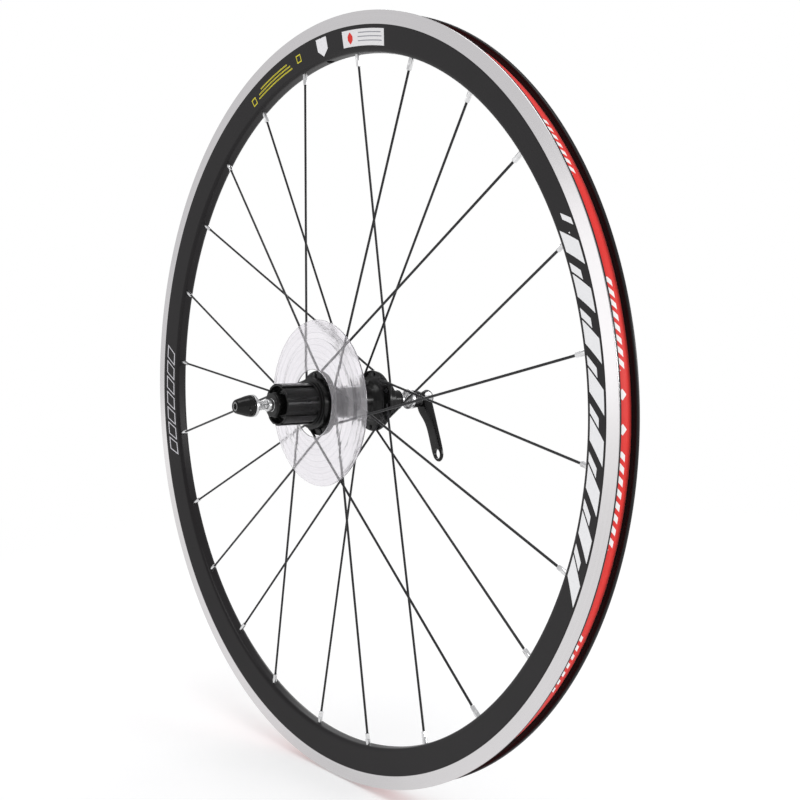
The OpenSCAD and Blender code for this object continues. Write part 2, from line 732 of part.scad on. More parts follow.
// side of the lever: [y from the pin, z]
lever_side = [
    [3.4, 0], [3.7, -8], [3.6, -0.4 * lever_len], [3.3, -0.8 * lever_len],
    [2.6, -lever_len], [0.6, -lever_len], [0.3, -0.8 * lever_len], [0.2, -27],
    [-0.5, -20.5], [-2.2, -15], [-4.6, -11.4], [-6.2, -9.8],
    [-6.3, -8.6], [-4.8, -6.6], [-3, -3]
];

module lever() color([0.05, 0.05, 0.055])
    turned_lever()
        difference() {
            union() {
                translate([-lever_w / 2, pin_y - cam_offset, 0]) rotate([0, 90, 0])
                    cylinder(r = cam_r, h = lever_w);
                intersection() {
                    translate([-lever_w / 2, pin_y, 0]) rotate([90, 0, 90])
                        linear_extrude(lever_w) polygon(lever_side);
                    plate_y(pin_y - 10, pin_y + 10) lever_front();
                }
            }
            translate([-lever_w, pin_y, 0]) rotate([0, 90, 0])
                cylinder(r = barrel_pin_r + run_gap, h = 2 * lever_w, $fn = 64);
            translate([-cheek_gap, pin_y - 12, -cheek_gap - 0.3])
                cube([2 * cheek_gap, 24, 20]);
            translate([0, pin_y - 10, -lever_len + lever_w / 2 + 0.6]) rotate([-90, 0, 0])
                cylinder(r = tip_hole_r, h = 20, $fn = 48);
        }

// front of the lever: straight sides that narrow to a waist, and a round tip
module lever_front() {
    translate([0, -lever_len + lever_w / 2]) circle(r = lever_w / 2, $fn = 64);
    polygon([
        [-lever_w / 2, 1], [lever_w / 2, 1], [lever_w / 2, -10], [lever_w / 2 - 0.9, -26],
        [lever_w / 2, -lever_len + lever_w / 2], [-lever_w / 2, -lever_len + lever_w / 2],
        [-lever_w / 2 + 0.9, -26], [-lever_w / 2, -10]
    ]);
}

module cam_shoe() color([0.12, 0.12, 0.12])
    turned_lever()
        difference() {
            tube_y(cap_end_y - shoe_seat, cap_end_y + 3, shoe_r, skewer_r + part_gap);
            translate([-shoe_r - eps, cap_end_y + shoe_t + shoe_curve_r, 0]) rotate([0, 90, 0])
                cylinder(r = shoe_curve_r, h = 2 * shoe_r + 2 * eps);
        }

module skewer_cap() color([0.05, 0.05, 0.055])
    turned([
        [skewer_r + part_gap, cap_y], [clamp_r - 0.6, cap_y], [clamp_r - 0.3, cap_y + 0.6],
        [clamp_r - 0.6, cap_y + cap_len * 0.4], [shoe_r + 1.3, cap_end_y - 0.5],
        [shoe_r + 0.8, cap_end_y], [shoe_r, cap_end_y], [shoe_r, cap_end_y - shoe_seat],
        [skewer_r + part_gap, cap_end_y - shoe_seat]
    ]);

// serrated steel ring that bites the dropout, hollow for the spring's wide end
spring_wide_r = 6;
module clamp_ring() color("silver")
    turned([
        [spring_wide_r + 0.9, ring_y], [clamp_r - 0.4, ring_y], [clamp_r, ring_y + 0.4],
        [clamp_r, cap_y - 0.1], [skewer_r + part_gap, cap_y - 0.1],
        [skewer_r + part_gap, cap_y - 0.9], [spring_wide_r + 0.9, cap_y - 0.9]
    ]);

nut_recess = 1.7;
module nut_washer() color("silver")
    turned([
        [spring_wide_r + 0.9, -washer_face_y], [clamp_r - 0.3, -washer_face_y],
        [clamp_r, -washer_face_y - 0.4], [clamp_r, -nut_y + 0.1],
        [skewer_r + part_gap, -nut_y + 0.1], [skewer_r + part_gap, -washer_face_y - nut_recess],
        [spring_wide_r + 0.9, -washer_face_y - nut_recess]
    ]);

insert_r = 3.7;
nut_tip_r = 5;
module qr_nut() color([0.05, 0.05, 0.055])
    difference() {
        turned([
            [insert_r, -nut_y], [clamp_r - 0.2, -nut_y], [clamp_r - 0.1, -nut_y - 1.6],
            [clamp_r - 0.7, -nut_y - nut_len * 0.3], [nut_tip_r + 1, -nut_end_y + 3],
            [nut_tip_r + 0.3, -nut_end_y + 1], [nut_tip_r - 0.6, -nut_end_y],
            [insert_r, -nut_end_y]
        ]);
        for (s = [0, 180]) at_angle(s - 12) nut_grip();
    }

// a finger groove along the side of the nut
module nut_grip()
    translate([clamp_r + 3.1, -nut_y - 2, 0]) rotate([90, 0, 0])
        cylinder(r = 4.6, h = nut_len, $fn = 64);

module nut_insert() color("silver")
    tube_y(-nut_end_y + 0.3, -nut_y - 2.5, insert_r, skewer_r + run_gap);

module nut_lock_ring() color("white")
    tube_y(-nut_y - 2.4, -nut_y - 0.2, insert_r, skewer_r + run_gap);

// ---------- springs ----------

// centre line of a coned coil: radius and place both change with the turn
function coil_point(t, turns, r0, r1, y0, y1) =
    let (a = 360 * turns * t, r = r0 + (r1 - r0) * pow(t, 2.2))
    [r * cos(a), y0 + (y1 - y0) * t, r * sin(a)];

// a six-sided wire swept along the coil
module coil(turns, r0, r1, y0, y1) {
    rings = turns * 12;
    sides = 6;
    path = [for (i = [0 : rings]) coil_point(i / rings, turns, r0, r1, y0, y1)];
    points = [for (i = [0 : rings], j = [0 : sides - 1])
        let (
            p = path[i],
            out = [p[0], 0, p[2]] / norm([p[0], 0, p[2]]),
            b = j * 360 / sides
        )
        p + spring_wire_r * (cos(b) * out + sin(b) * [0, 1, 0])];
    sides_faces = [for (i = [0 : rings - 1], j = [0 : sides - 1])
        let (k = (j + 1) % sides)
        [i * sides + j, i * sides + k, (i + 1) * sides + k, (i + 1) * sides + j]];
    start = [for (j = [sides - 1 : -1 : 0]) j];
    finish = [for (j = [0 : sides - 1]) rings * sides + j];
    polyhedron(points, concat(sides_faces, [start, finish]));
}

spring_narrow_r = skewer_r + spring_wire_r + 0.3;

module drive_spring() color("silver")
    mirror([0, 1, 0]) coil(5, spring_narrow_r, spring_wide_r,
        stub_end_y + spring_wire_r + 0.1, washer_face_y + nut_recess - spring_wire_r - 0.1);

module non_drive_spring() color("silver")
    coil(4, spring_narrow_r, spring_wide_r,
        stub_end_y + spring_wire_r + 0.1, cap_y - 0.9 - spring_wire_r - 0.1);

// ---------- what is drawn ----------

axle();
drive_end_cap();
non_drive_end_cap();
bearing_spacer();
freehub_spacer();
hub_bearing_inner_races();
freehub_bearing_inner_races();
hub_shell();
ratchet_ring();
hub_bearing_outer_races();
hub_bearing_seals();
non_drive_seal();
freehub_seal();
rim();
rim_tape();
drive_trailing_spokes();
drive_leading_spokes();
non_drive_trailing_spokes();
non_drive_leading_spokes();
drive_nipples();
non_drive_nipples();
spoke_protector();
freehub_body();
freehub_bearing_outer_races();
freehub_bearing_seals();
pawl_springs();
pawl_1();
pawl_2();
pawl_3();
hub_bearing_balls();
hub_bearing_cages();
freehub_bearing_balls();
freehub_bearing_cages();
clamp_ring();
non_drive_spring();
skewer_cap();
cam_shoe();
skewer_rod();
cam_barrel_pin();
lever();
nut_washer();
qr_nut();
nut_insert();
nut_lock_ring();
drive_spring();
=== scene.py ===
"""Looks of a rear bicycle wheel with a cassette freehub and a quick-release skewer.

Axle along Y, drive side at -Y, rolling direction +X, up +Z, origin at the wheel's centre.
Shapes are worked out in millimetres and stored in metres.
"""

import math

import bmesh
import bpy
import numpy as np
from mathutils import Matrix


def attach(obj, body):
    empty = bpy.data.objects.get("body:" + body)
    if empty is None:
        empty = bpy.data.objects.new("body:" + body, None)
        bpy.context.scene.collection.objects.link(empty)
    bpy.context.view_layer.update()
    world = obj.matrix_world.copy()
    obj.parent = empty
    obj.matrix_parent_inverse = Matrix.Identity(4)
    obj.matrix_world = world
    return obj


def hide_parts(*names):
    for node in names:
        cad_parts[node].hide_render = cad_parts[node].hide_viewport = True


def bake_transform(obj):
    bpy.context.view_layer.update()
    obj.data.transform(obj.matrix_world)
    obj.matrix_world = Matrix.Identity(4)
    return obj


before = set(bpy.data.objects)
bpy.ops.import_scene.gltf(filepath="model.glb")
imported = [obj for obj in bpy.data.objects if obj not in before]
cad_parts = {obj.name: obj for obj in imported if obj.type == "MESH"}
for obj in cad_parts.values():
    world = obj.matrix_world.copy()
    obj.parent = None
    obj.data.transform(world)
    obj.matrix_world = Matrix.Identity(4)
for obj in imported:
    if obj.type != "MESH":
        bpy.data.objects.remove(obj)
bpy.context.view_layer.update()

MM = 0.001
TURN = 2 * math.pi
WELD = 0.002 * MM
DISC_IN, DISC_OUT, DISC_T, DISC_RINGS = 28.2, 69.5, 1.1, 8

# ---------------------------------------------------------------- shapes


def rounded(outline, radius, steps=5):
    """A closed outline with its corners rounded.

    Each corner becomes a parabola that touches both edges, from a start point to an end point
    that lie one reach along them: (1-t)^2 start + 2t(1-t) corner + t^2 end. A reach is at most
    about a third of its edge. A guard point on each side keeps the flats flat when shaded.
    """
    corner = np.asarray(outline, float)
    most, guard = 0.34, 1.35
    back = np.roll(corner, 1, 0) - corner
    ahead = np.roll(corner, -1, 0) - corner
    len_back = np.linalg.norm(back, axis=1)
    len_ahead = np.linalg.norm(ahead, axis=1)
    reach = np.minimum(np.broadcast_to(radius, len(corner)), most * np.minimum(len_back, len_ahead))
    back *= (reach / len_back)[:, None]
    ahead *= (reach / len_ahead)[:, None]
    t = np.linspace(0, 1, steps + 1)[None, :, None]
    start, end = (corner + back)[:, None], (corner + ahead)[:, None]
    arc = (1 - t) ** 2 * start + 2 * t * (1 - t) * corner[:, None] + t**2 * end
    guard_back = (corner + guard * back)[:, None]
    guard_ahead = (corner + guard * ahead)[:, None]
    return np.concatenate([guard_back, arc, guard_ahead], axis=1).reshape(-1, 2)


def around(count):
    """Evenly spaced angles of one turn, without its end."""
    return np.linspace(0, TURN, count, endpoint=False)


def turned(profile, segments, sign=1):
    """A closed profile of (radius, y) turned about the axle: (r cos t, y, r sin t)."""
    t = around(segments)[:, None]
    r, y = profile[:, 0], profile[:, 1]
    grid = np.stack([np.cos(t) * r, np.broadcast_to(y, (segments, len(y))), np.sin(t) * r], -1)
    return grid, True, True, sign


def shaped_turn(profile, angles, change):
    """A turned shape whose profile changes with the angle.

    change(angle, r, y) gives the new (r, y) as arrays over angles by profile points.
    """
    t = np.asarray(angles)[:, None]
    r, y = change(t, profile[None, :, 0], profile[None, :, 1])
    r, y = np.broadcast_arrays(r, y)
    return np.stack([np.cos(t) * r, y, np.sin(t) * r], -1), True, True, 1


def swept(path, radii, across, sides):
    """A round section carried along a path.

    Every ring point is path + radius (cos a n + sin a b), where b is the direction across the
    path and n is square to b and to the path. A zero radius at each end closes the tube.
    """
    path = np.asarray(path, float)
    tangent = np.gradient(path, axis=0)
    tangent /= np.linalg.norm(tangent, axis=1)[:, None]
    across = np.broadcast_to(across, path.shape)
    normal = np.cross(across, tangent)
    normal /= np.linalg.norm(normal, axis=1)[:, None]
    side = np.cross(tangent, normal)
    a = around(sides)[None, :, None]
    ring = np.cos(a) * normal[:, None] + np.sin(a) * side[:, None]
    grid = path[:, None] + np.asarray(radii, float)[:, None, None] * ring
    return grid, False, True, 1


def quads_of(grid, wrap_u, wrap_v):
    """Four-sided faces between neighbouring rows and columns; a wrapped side closes on itself."""
    nu, nv = grid.shape[:2]
    u = np.arange(nu if wrap_u else nu - 1)[:, None]
    v = np.arange(nv if wrap_v else nv - 1)[None, :]
    next_u, next_v = (u + 1) % nu, (v + 1) % nv
    corners = [u * nv + v, u * nv + next_v, next_u * nv + next_v, next_u * nv + v]
    return np.stack([c.ravel() for c in np.broadcast_arrays(*corners)], 1)


def volume(points, quads):
    """Signed volume: the sum over triangles of a . (b x c) / 6."""
    a, b, c, d = (points[quads[:, k]] for k in range(4))
    return (np.einsum("ij,ij", a, np.cross(b, c)) + np.einsum("ij,ij", a, np.cross(c, d))) / 6


def solid(name, shells):
    """An object made of closed shells, with faces outwards and poles closed."""
    points, faces, first = [], [], 0
    for grid, wrap_u, wrap_v, sign in shells:
        quads = quads_of(grid, wrap_u, wrap_v)
        flat = grid.reshape(-1, 3)
        if volume(flat, quads) * sign < 0:
            quads = quads[:, ::-1]
        points.append(flat)
        faces.append(quads + first)
        first += len(flat)
    mesh = bpy.data.meshes.new(name)
    mesh.from_pydata((np.concatenate(points) * MM).tolist(), [], np.concatenate(faces).tolist())
    work = bmesh.new()
    work.from_mesh(mesh)
    bmesh.ops.remove_doubles(work, verts=work.verts, dist=WELD)
    work.to_mesh(mesh)
    work.free()
    made = bpy.data.objects.new(name, mesh)
    bpy.context.scene.collection.objects.link(made)
    return made


def combined(target, tool, operation="DIFFERENCE"):
    """The target with a tool cut away from it, or joined to it. The tool is used up."""
    step = target.modifiers.new("combine", "BOOLEAN")
    step.operation, step.solver, step.object = operation, "EXACT", tool
    graph = bpy.context.evaluated_depsgraph_get()
    mesh = bpy.data.meshes.new_from_object(target.evaluated_get(graph))
    target.modifiers.clear()
    target.data = mesh
    bpy.data.objects.remove(tool)


def kept(made, body, finish, node, sharp=35):
    """Shading, material and place in the frame of a finished piece.

    The body is a name, or two bodies with the two points that a springy piece stretches between; those
    two are not used, and such a piece stays where it was made, with no parent.
    """
    mesh = made.data
    mesh.polygons.foreach_set("use_smooth", np.ones(len(mesh.polygons), bool))
    mesh.set_sharp_from_angle(angle=math.radians(sharp))
    mesh.materials.clear()
    mesh.materials.append(finish)
    if isinstance(body, str):
        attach(made, body)
    else:
        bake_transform(made)
    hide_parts(node)


def on_circle(radius, degrees, y):
    """The point at that radius and angle about the axle."""
    t = math.radians(degrees)
    return np.array([radius * math.cos(t), y, radius * math.sin(t)])


def straight(start, end, count):
    """Evenly spaced points on a line."""
    return np.asarray(start) + np.linspace(0, 1, count)[:, None] * (np.asarray(end) - start)


def rod(start, end, radius, sides):
    """A plain closed cylinder from one point to another, for cutting."""
    path = np.array([start, start, end, end], float)
    direction = (path[3] - path[0]) / np.linalg.norm(path[3] - path[0])
    side = np.cross(direction, [0.3, 0.5, 0.8])
    side /= np.linalg.norm(side)
    other = np.cross(direction, side)
    a = around(sides)[None, :, None]
    ring = np.cos(a) * side + np.sin(a) * other
    radii = np.array([0, radius, radius, 0])[:, None, None]
    return path[:, None] + radii * ring, False, True, 1


def smoothed(values, width):
    """Each value replaced by the mean of its neighbours over an odd width."""
    padded = np.pad(values, width // 2, mode="edge")
    return np.convolve(padded, np.ones(width) / width, mode="valid")


def capped(rings):
    """Rows of ring points with one more row at each end, gathered at that end's middle."""
    first, last = rings[:1], rings[-1:]
    first, last = (ring.mean(1, keepdims=True).repeat(rings.shape[1], 1) for ring in (first, last))
    return np.concatenate([first, rings, last]), False, True, 1


# ---------------------------------------------------------------- shader maths


class Value:
    """A number socket that adds Math nodes when it is used in an expression."""

    def __init__(self, paint, socket):
        self.paint, self.socket = paint, socket

    def math(self, operation, other=None, flip=False):
        step = self.paint.tree.nodes.new("ShaderNodeMath")
        step.operation = operation
        inputs = [self] if other is None else ([other, self] if flip else [self, other])
        for place, value in enumerate(inputs):
            self.paint.feed(step.inputs[place], value)
        return Value(self.paint, step.outputs[0])

    def __add__(self, other):
        return self.math("ADD", other)

    def __radd__(self, other):
        return self.math("ADD", other, True)

    def __sub__(self, other):
        return self.math("SUBTRACT", other)

    def __rsub__(self, other):
        return self.math("SUBTRACT", other, True)

    def __mul__(self, other):
        return self.math("MULTIPLY", other)

    def __rmul__(self, other):
        return self.math("MULTIPLY", other, True)

    def __truediv__(self, other):
        return self.math("DIVIDE", other)

    def __rtruediv__(self, other):
        return self.math("DIVIDE", other, True)

    def __pow__(self, other):
        return self.math("POWER", other)

    def __mod__(self, other):
        return self.math("FLOORED_MODULO", other)

    def __abs__(self):
        return self.math("ABSOLUTE")

    def above(self, edge):
        return self.math("GREATER_THAN", edge)

    def below(self, edge):
        return self.math("LESS_THAN", edge)

    def between(self, low, high):
        return self.above(low) * self.below(high)

    def soft(self, low, high):
        """0 below low, 1 above high and smooth between."""
        return self.paint.node(
            "ShaderNodeMapRange",
            {"interpolation_type": "SMOOTHSTEP"},
            {"Value": self, "From Min": low, "From Max": high},
        )

    def sine(self):
        return self.math("SINE")

    def largest(self, other):
        return self.math("MAXIMUM", other)

    def smallest(self, other):
        return self.math("MINIMUM", other)


class Paint:
    """A material under construction."""

    def __init__(self, name):
        self.material = bpy.data.materials.new(name)
        self.material.use_nodes = True
        self.tree = self.material.node_tree
        self.shader = self.tree.nodes["Principled BSDF"]
        place = self.tree.nodes.new("ShaderNodeTexCoord")
        self.place = Value(self, place.outputs["Object"])
        split = self.tree.nodes.new("ShaderNodeSeparateXYZ")
        self.feed(split.inputs[0], self.place)
        self.x, self.y, self.z = (Value(self, out) for out in split.outputs)

    def feed(self, socket, value):
        if isinstance(value, Value):
            self.tree.links.new(value.socket, socket)
        else:
            socket.default_value = value

    def node(self, kind, settings, values, out=0):
        """Adds a node: its settings first, then values or links for its sockets."""
        made = self.tree.nodes.new(kind)
        for key, value in settings.items():
            setattr(made, key, value)
        for key, value in values.items():
            self.feed(made.inputs[key], value)
        return Value(self, made.outputs[out])

    def noise(self, scale, detail=3.0, rough=0.55, vector=None):
        values = {"Scale": scale, "Detail": detail, "Roughness": rough}
        return self.node("ShaderNodeTexNoise", {}, {"Vector": vector or self.place} | values)

    def stretched(self, x, y, z):
        """The object's coordinates, scaled on each axis."""
        return self.node("ShaderNodeMapping", {}, {"Vector": self.place, "Scale": (x, y, z)})

    def joined(self, x, y, z):
        return self.node("ShaderNodeCombineXYZ", {}, {"X": x, "Y": y, "Z": z})

    def radius(self):
        """Distance from the axle."""
        return (self.x * self.x + self.z * self.z) ** 0.5

    def angle(self):
        """Angle about the axle in degrees, from +X towards +Z, from -180 to 180."""
        return self.z.math("ARCTAN2", self.x) * math.degrees(1)

    def mix(self, share, first, second):
        """A colour between two colours."""
        values = {0: share, 6: first, 7: second}
        return self.node("ShaderNodeMix", {"data_type": "RGBA"}, values, out=2)

    def bump(self, height, strength, distance):
        """A normal that follows a height; the distance is in metres."""
        values = {"Height": height, "Strength": strength, "Distance": distance}
        return self.node("ShaderNodeBump", {}, values)

    def finish(self, constants, **links):
        """Sets the shader's constant sockets, links the varying ones and gives the material."""
        for key, value in constants.items():
            self.shader.inputs[key].default_value = value
        names = {"colour": "Base Color", "roughness": "Roughness", "normal": "Normal"}
        names |= {"metallic": "Metallic", "glow": "Emission Color"}
        for key, value in links.items():
            self.feed(self.shader.inputs[names[key]], value)
        return self.material


def shade(r, g=None, b=None):
    """A colour with alpha; one number makes a grey."""
    return (r, r if g is None else g, r if b is None else b, 1.0)


def black_coat(name, tint, rough, shine):
    """Black anodised or powder-coated metal: fine grain, faint clouds and tiny pale scuffs."""
    paint = Paint(name)
    clouds = paint.noise(45.0, 4.0)
    fine = paint.noise(2700.0, 2.0)
    scuffs = paint.noise(260.0, 6.0, 0.7).soft(0.66, 0.74)
    colour = paint.mix(clouds, shade(tint * 0.75), shade(tint * 1.35, tint * 1.3, tint * 1.32))
    colour = paint.mix(scuffs * 0.15, colour, shade(0.08))
    return paint.finish(
        {"Specular IOR Level": shine},
        colour=colour,
        roughness=rough - 0.06 + clouds * 0.1 + scuffs * 0.15,
        normal=paint.bump(fine, 0.12, 0.00003),
    )


def bright_metal(name, tint, rough, along, grain, blue=1.01):
    """Bare metal with brushed or turned lines: noise stretched along one direction."""
    paint = Paint(name)
    lines = paint.noise(grain, 3.0, 0.6, paint.stretched(*along))
    clouds = paint.noise(90.0, 3.0)
    dull = paint.noise(420.0, 5.0, 0.7).soft(0.6, 0.75)
    colour = paint.mix(lines, shade(tint * 0.78), shade(tint, tint, min(1, tint * blue)))
    colour = paint.mix(dull * 0.3, colour, shade(tint * 0.55))
    return paint.finish(
        {"Metallic": 1.0},
        colour=colour,
        roughness=rough - 0.05 + lines * 0.12 + clouds * 0.08,
        normal=paint.bump(lines, 0.15, 0.00002),
    )


def dark_wire(name):
    """Black stainless wire: long faint draw lines and worn grey specks."""
    paint = Paint(name)
    clouds = paint.noise(160.0, 3.0)
    specks = paint.noise(900.0, 4.0, 0.7).soft(0.62, 0.72)
    colour = paint.mix(clouds, shade(0.009, 0.009, 0.010), shade(0.022, 0.022, 0.024))
    return paint.finish(
        {"Metallic": 0.15, "Specular IOR Level": 0.3},
        colour=paint.mix(specks * 0.3, colour, shade(0.12)),
        roughness=0.3 + clouds * 0.12,
        normal=paint.bump(specks, 0.1, 0.00002),
    )


def moulded(name, tint, rough=0.45):
    """Moulded plastic or rubber with a fine spark-eroded texture."""
    paint = Paint(name)
    texture = paint.noise(1400.0, 2.0)
    clouds = paint.noise(60.0, 3.0)
    low = tuple(c * 0.85 for c in tint[:3]) + (1.0,)
    return paint.finish(
        {"Specular IOR Level": 0.45},
        colour=paint.mix(clouds, low, tint),
        roughness=rough - 0.05 + clouds * 0.1,
        normal=paint.bump(texture, 0.25, 0.00004),
    )


TRACK_EDGE = (306.35, 306.55)
TRACK_Y = 0.0095
WALL_ARC, TAPE_ARC = 5.18, 5.36  # millimetres per degree on the rim's wall and on the tape


def rim_finish():
    """Black anodised rim with machined brake tracks and plain coloured bars as trim."""
    paint = Paint("rim_anodised_machined")
    r = paint.radius() * 1000.0
    angle = paint.angle()
    clouds = paint.noise(30.0, 4.0)
    fine = paint.noise(2600.0, 2.0)
    # concentric turning marks on the brake tracks
    marks = paint.noise(1.0, 4.0, 0.7, paint.joined(r * 9.0, angle * 0.02, 0.0))
    wide_marks = paint.noise(1.0, 2.0, 0.5, paint.joined(r * 1.6, angle * 0.05, 3.0))
    track = r.soft(*TRACK_EDGE) * abs(paint.y).above(TRACK_Y)
    black = paint.mix(clouds, shade(0.0095, 0.0085, 0.009), shade(0.014, 0.0125, 0.0135))
    silver = paint.mix(marks, shade(0.56, 0.545, 0.55), shade(0.74, 0.725, 0.73))
    colour = paint.mix(track, black, silver)
    for mask, tint in trim_marks(paint, r, angle):
        colour = paint.mix(mask, colour, tint)
    height = track * (marks * 0.7 + wide_marks * 0.5) + (1 - track) * fine * 0.3
    return paint.finish(
        {"Specular IOR Level": 0.17},
        colour=colour,
        metallic=track,
        roughness=track * (0.14 + marks * 0.12) + (1 - track) * (0.32 + clouds * 0.08),
        normal=paint.bump(height, 0.16, 0.00004),
    )


def bar_row(r, angle, start, end, count, fill, slant, low, high):
    """A row of slanted bars: the angle, leaned by the radius, repeats along the row."""
    lean = (r - (low + high) / 2) * slant
    run = (angle + lean - start) / ((end - start) / count)
    inside = run.between(0.0, float(count))
    step = run % 1.0
    return inside * step.between((1 - fill) / 2, (1 + fill) / 2) * r.between(low, high)


def frame_row(r, angle, start, end, count, fill, slant, low, high, line):
    """A row of hollow slanted blocks, drawn as an outer row less a smaller inner row."""
    outer = bar_row(r, angle, start, end, count, fill, slant, low, high)
    thin = fill - 2 * line / ((end - start) / count * WALL_ARC)
    inner = bar_row(r, angle, start, end, count, thin, slant, low + line, high - line)
    return (outer - inner).largest(0.0)


def trim_marks(paint, r, angle):
    """Masks and tints of the plain trim: bars, a hollow row, two blank stickers and ticks."""
    side = abs(paint.y).above(0.004)
    # a run of broad white bars, each followed by a shorter, thinner one
    broad = bar_row(r, angle, -25.0, 23.8, 8, 0.5, 0.2, 289.6, 304.2)
    short = bar_row(r, angle, -21.95, 26.85, 8, 0.2, 0.2, 289.6, 298.6)
    last = bar_row(r, angle, 23.3, 25.2, 1, 0.5, 0.2, 296.0, 304.2)
    white = (broad + short * angle.below(22.6) + last).smallest(1.0) * side
    # a hollow row at the rear, where the angle passes 180 degrees
    outline = frame_row(r, angle % 360.0, 169.8, 191.4, 7, 0.8, 0.14, 290.4, 302.0, 1.15)
    # two blank stickers near the valve
    label = angle.between(73.6, 84.4) * r.between(290.8, 303.4) * side
    dot_x, dot_y = (angle - 82.4) * WALL_ARC, r - 297.2
    corner = abs(dot_x) * 0.7 + abs(dot_y) * 0.7
    dot = abs(dot_x).largest(abs(dot_y) * 0.78).largest(corner).below(3.4) * side
    lines = bar_row(r, angle, 74.4, 80.2, 1, 1.0, 0.0, 300.3, 301.1)
    for low in (297.3, 294.2):
        lines = lines + bar_row(r, angle, 74.2, 80.4, 1, 1.0, 0.0, low, low + 0.8)
    tip = abs(angle - 90.1) * WALL_ARC * 0.7
    badge = angle.between(88.7, 91.5) * (r - tip).between(289.6, 303.8) * r.below(304.2) * side
    # fine yellow ticks and two small hollow squares
    ticks = bar_row(r, angle, 99.4, 110.8, 30, 0.7, 0.05, 293.4, 294.7)
    ticks = ticks + bar_row(r, angle, 99.8, 110.4, 27, 0.66, 0.05, 296.2, 297.5)
    ticks = ticks + bar_row(r, angle, 100.6, 109.4, 24, 0.7, 0.05, 299.0, 300.3)
    for start, low in ((111.6, 292.4), (96.4, 294.6)):
        square = frame_row(r, angle, start, start + 1.3, 1, 1.0, 0.0, low, low + 6.4, 0.9)
        ticks = ticks + square
    ticks = ticks.smallest(1.0) * side
    return [
        (white, shade(0.88, 0.88, 0.89)),
        (outline * side, shade(0.62, 0.61, 0.64)),
        (label, shade(0.8, 0.79, 0.8)),
        (dot, shade(0.7, 0.03, 0.02)),
        (lines.smallest(1.0) * side, shade(0.3, 0.3, 0.33)),
        (badge, shade(0.84, 0.83, 0.85)),
        (ticks, shade(0.68, 0.6, 0.03)),
    ]


def tape_finish():
    """Red woven rim tape: fine crossed threads, slightly uneven dye and plain white dashes."""
    paint = Paint("rim_tape_weave")
    angle = paint.angle()
    along = angle * TAPE_ARC
    across = paint.y * 1000.0
    warp_pitch, weft_pitch = 0.9, 0.7
    warp = (along * (TURN / warp_pitch)).sine() * 0.5 + 0.5
    weft = (across * (TURN / weft_pitch)).sine() * 0.5 + 0.5
    weave = warp * weft
    clouds = paint.noise(35.0, 4.0)
    colour = paint.mix(clouds, shade(0.66, 0.014, 0.01), shade(0.8, 0.026, 0.018))
    colour = paint.mix(weave * 0.2, colour, shade(0.46, 0.008, 0.008))
    dashes = 0.0
    for start, end, count in ((4.6, 15.6, 8), (-16.4, -4.6, 8), (29.0, 38.0, 7), (-38.0, -28.0, 7)):
        run = (angle - start) / ((end - start) / count)
        row = run.between(0.0, float(count)) * ((run + across * 0.11) % 1.0).between(0.2, 0.74)
        dashes = dashes + row * across.between(-6.2, 0.6)
    for centre in (1.9, -2.1):
        spot = abs((angle - centre) * TAPE_ARC) + abs(across + 2.4)
        dashes = dashes + spot.below(3.6)
    dashes = dashes.smallest(1.0)
    return paint.finish(
        {"Sheen Weight": 0.1, "Specular IOR Level": 0.3},
        colour=paint.mix(dashes, colour, shade(0.88, 0.86, 0.85)),
        roughness=0.5 + weave * 0.15,
        normal=paint.bump(weave, 0.2, 0.00008),
    )


def clear_disc_finish():
    """Clear, faintly lilac plastic with fine moulding swirls, uneven rings of tone and painted shade
    along its steps.
    """
    paint = Paint("clear_lilac_plastic")
    r = paint.radius() * 1000.0
    haze = paint.noise(28.0, 3.0)
    rings = paint.noise(1.0, 2.0, 0.5, paint.joined(r * 0.35, 0.0, 5.0))
    swirl = paint.noise(1.0, 3.0, 0.6, paint.joined(r * 1.3, paint.angle() * 0.03, 0.0))
    colour = paint.mix(rings, shade(0.86, 0.835, 0.875), shade(0.95, 0.93, 0.96))
    # painted shade: a darker band at the edge of every step, standing in for the darkening that the
    # steps' refraction gives
    pitch = (DISC_OUT - DISC_IN) / DISC_RINGS
    edge = abs(((r - DISC_IN) / pitch) % 1.0 - 0.5).soft(0.4, 0.5)
    colour = paint.mix(edge * 0.6, colour, shade(0.74, 0.72, 0.76))
    return paint.finish(
        {"Transmission Weight": 0.88, "IOR": 1.47},
        colour=colour,
        roughness=0.03 + haze * 0.05,
        normal=paint.bump(swirl, 0.2, 0.0002),
    )


RIM_BLACK = rim_finish()
TAPE_RED = tape_finish()
HUB_BLACK = black_coat("hub_anodised_black", 0.006, 0.22, 0.2)
FREEHUB_BLACK = black_coat("freehub_anodised_black", 0.007, 0.26, 0.22)
SKEWER_BLACK = black_coat("skewer_coat_black", 0.005, 0.16, 0.22)
SPOKE_DARK = dark_wire("spoke_black_wire")
NIPPLE_SILVER = bright_metal("nipple_plated_silver", 0.78, 0.2, (1, 1, 1), 1200.0)
STEEL = bright_metal("turned_steel", 0.7, 0.2, (0.4, 6.0, 0.4), 500.0)
PIN_STEEL = bright_metal("barrel_pin_steel", 0.72, 0.26, (1, 1, 1), 900.0)
SPRING_STEEL = bright_metal("spring_wire_steel", 0.62, 0.22, (2, 2, 2), 800.0)
# the nut's insert, painted a darker grey than bare steel as painted shade inside the nut's hole
INSERT_SHADED_STEEL = bright_metal("nut_insert_darkened_for_shade", 0.3, 0.34, (1, 1, 1), 800.0)
SHOE_DARK = moulded("cam_shoe_plastic", shade(0.03))
LOCK_WHITE = moulded("lock_ring_nylon", shade(0.75, 0.75, 0.72))
DISC_CLEAR = clear_disc_finish()

# ---------------------------------------------------------------- rim and tape

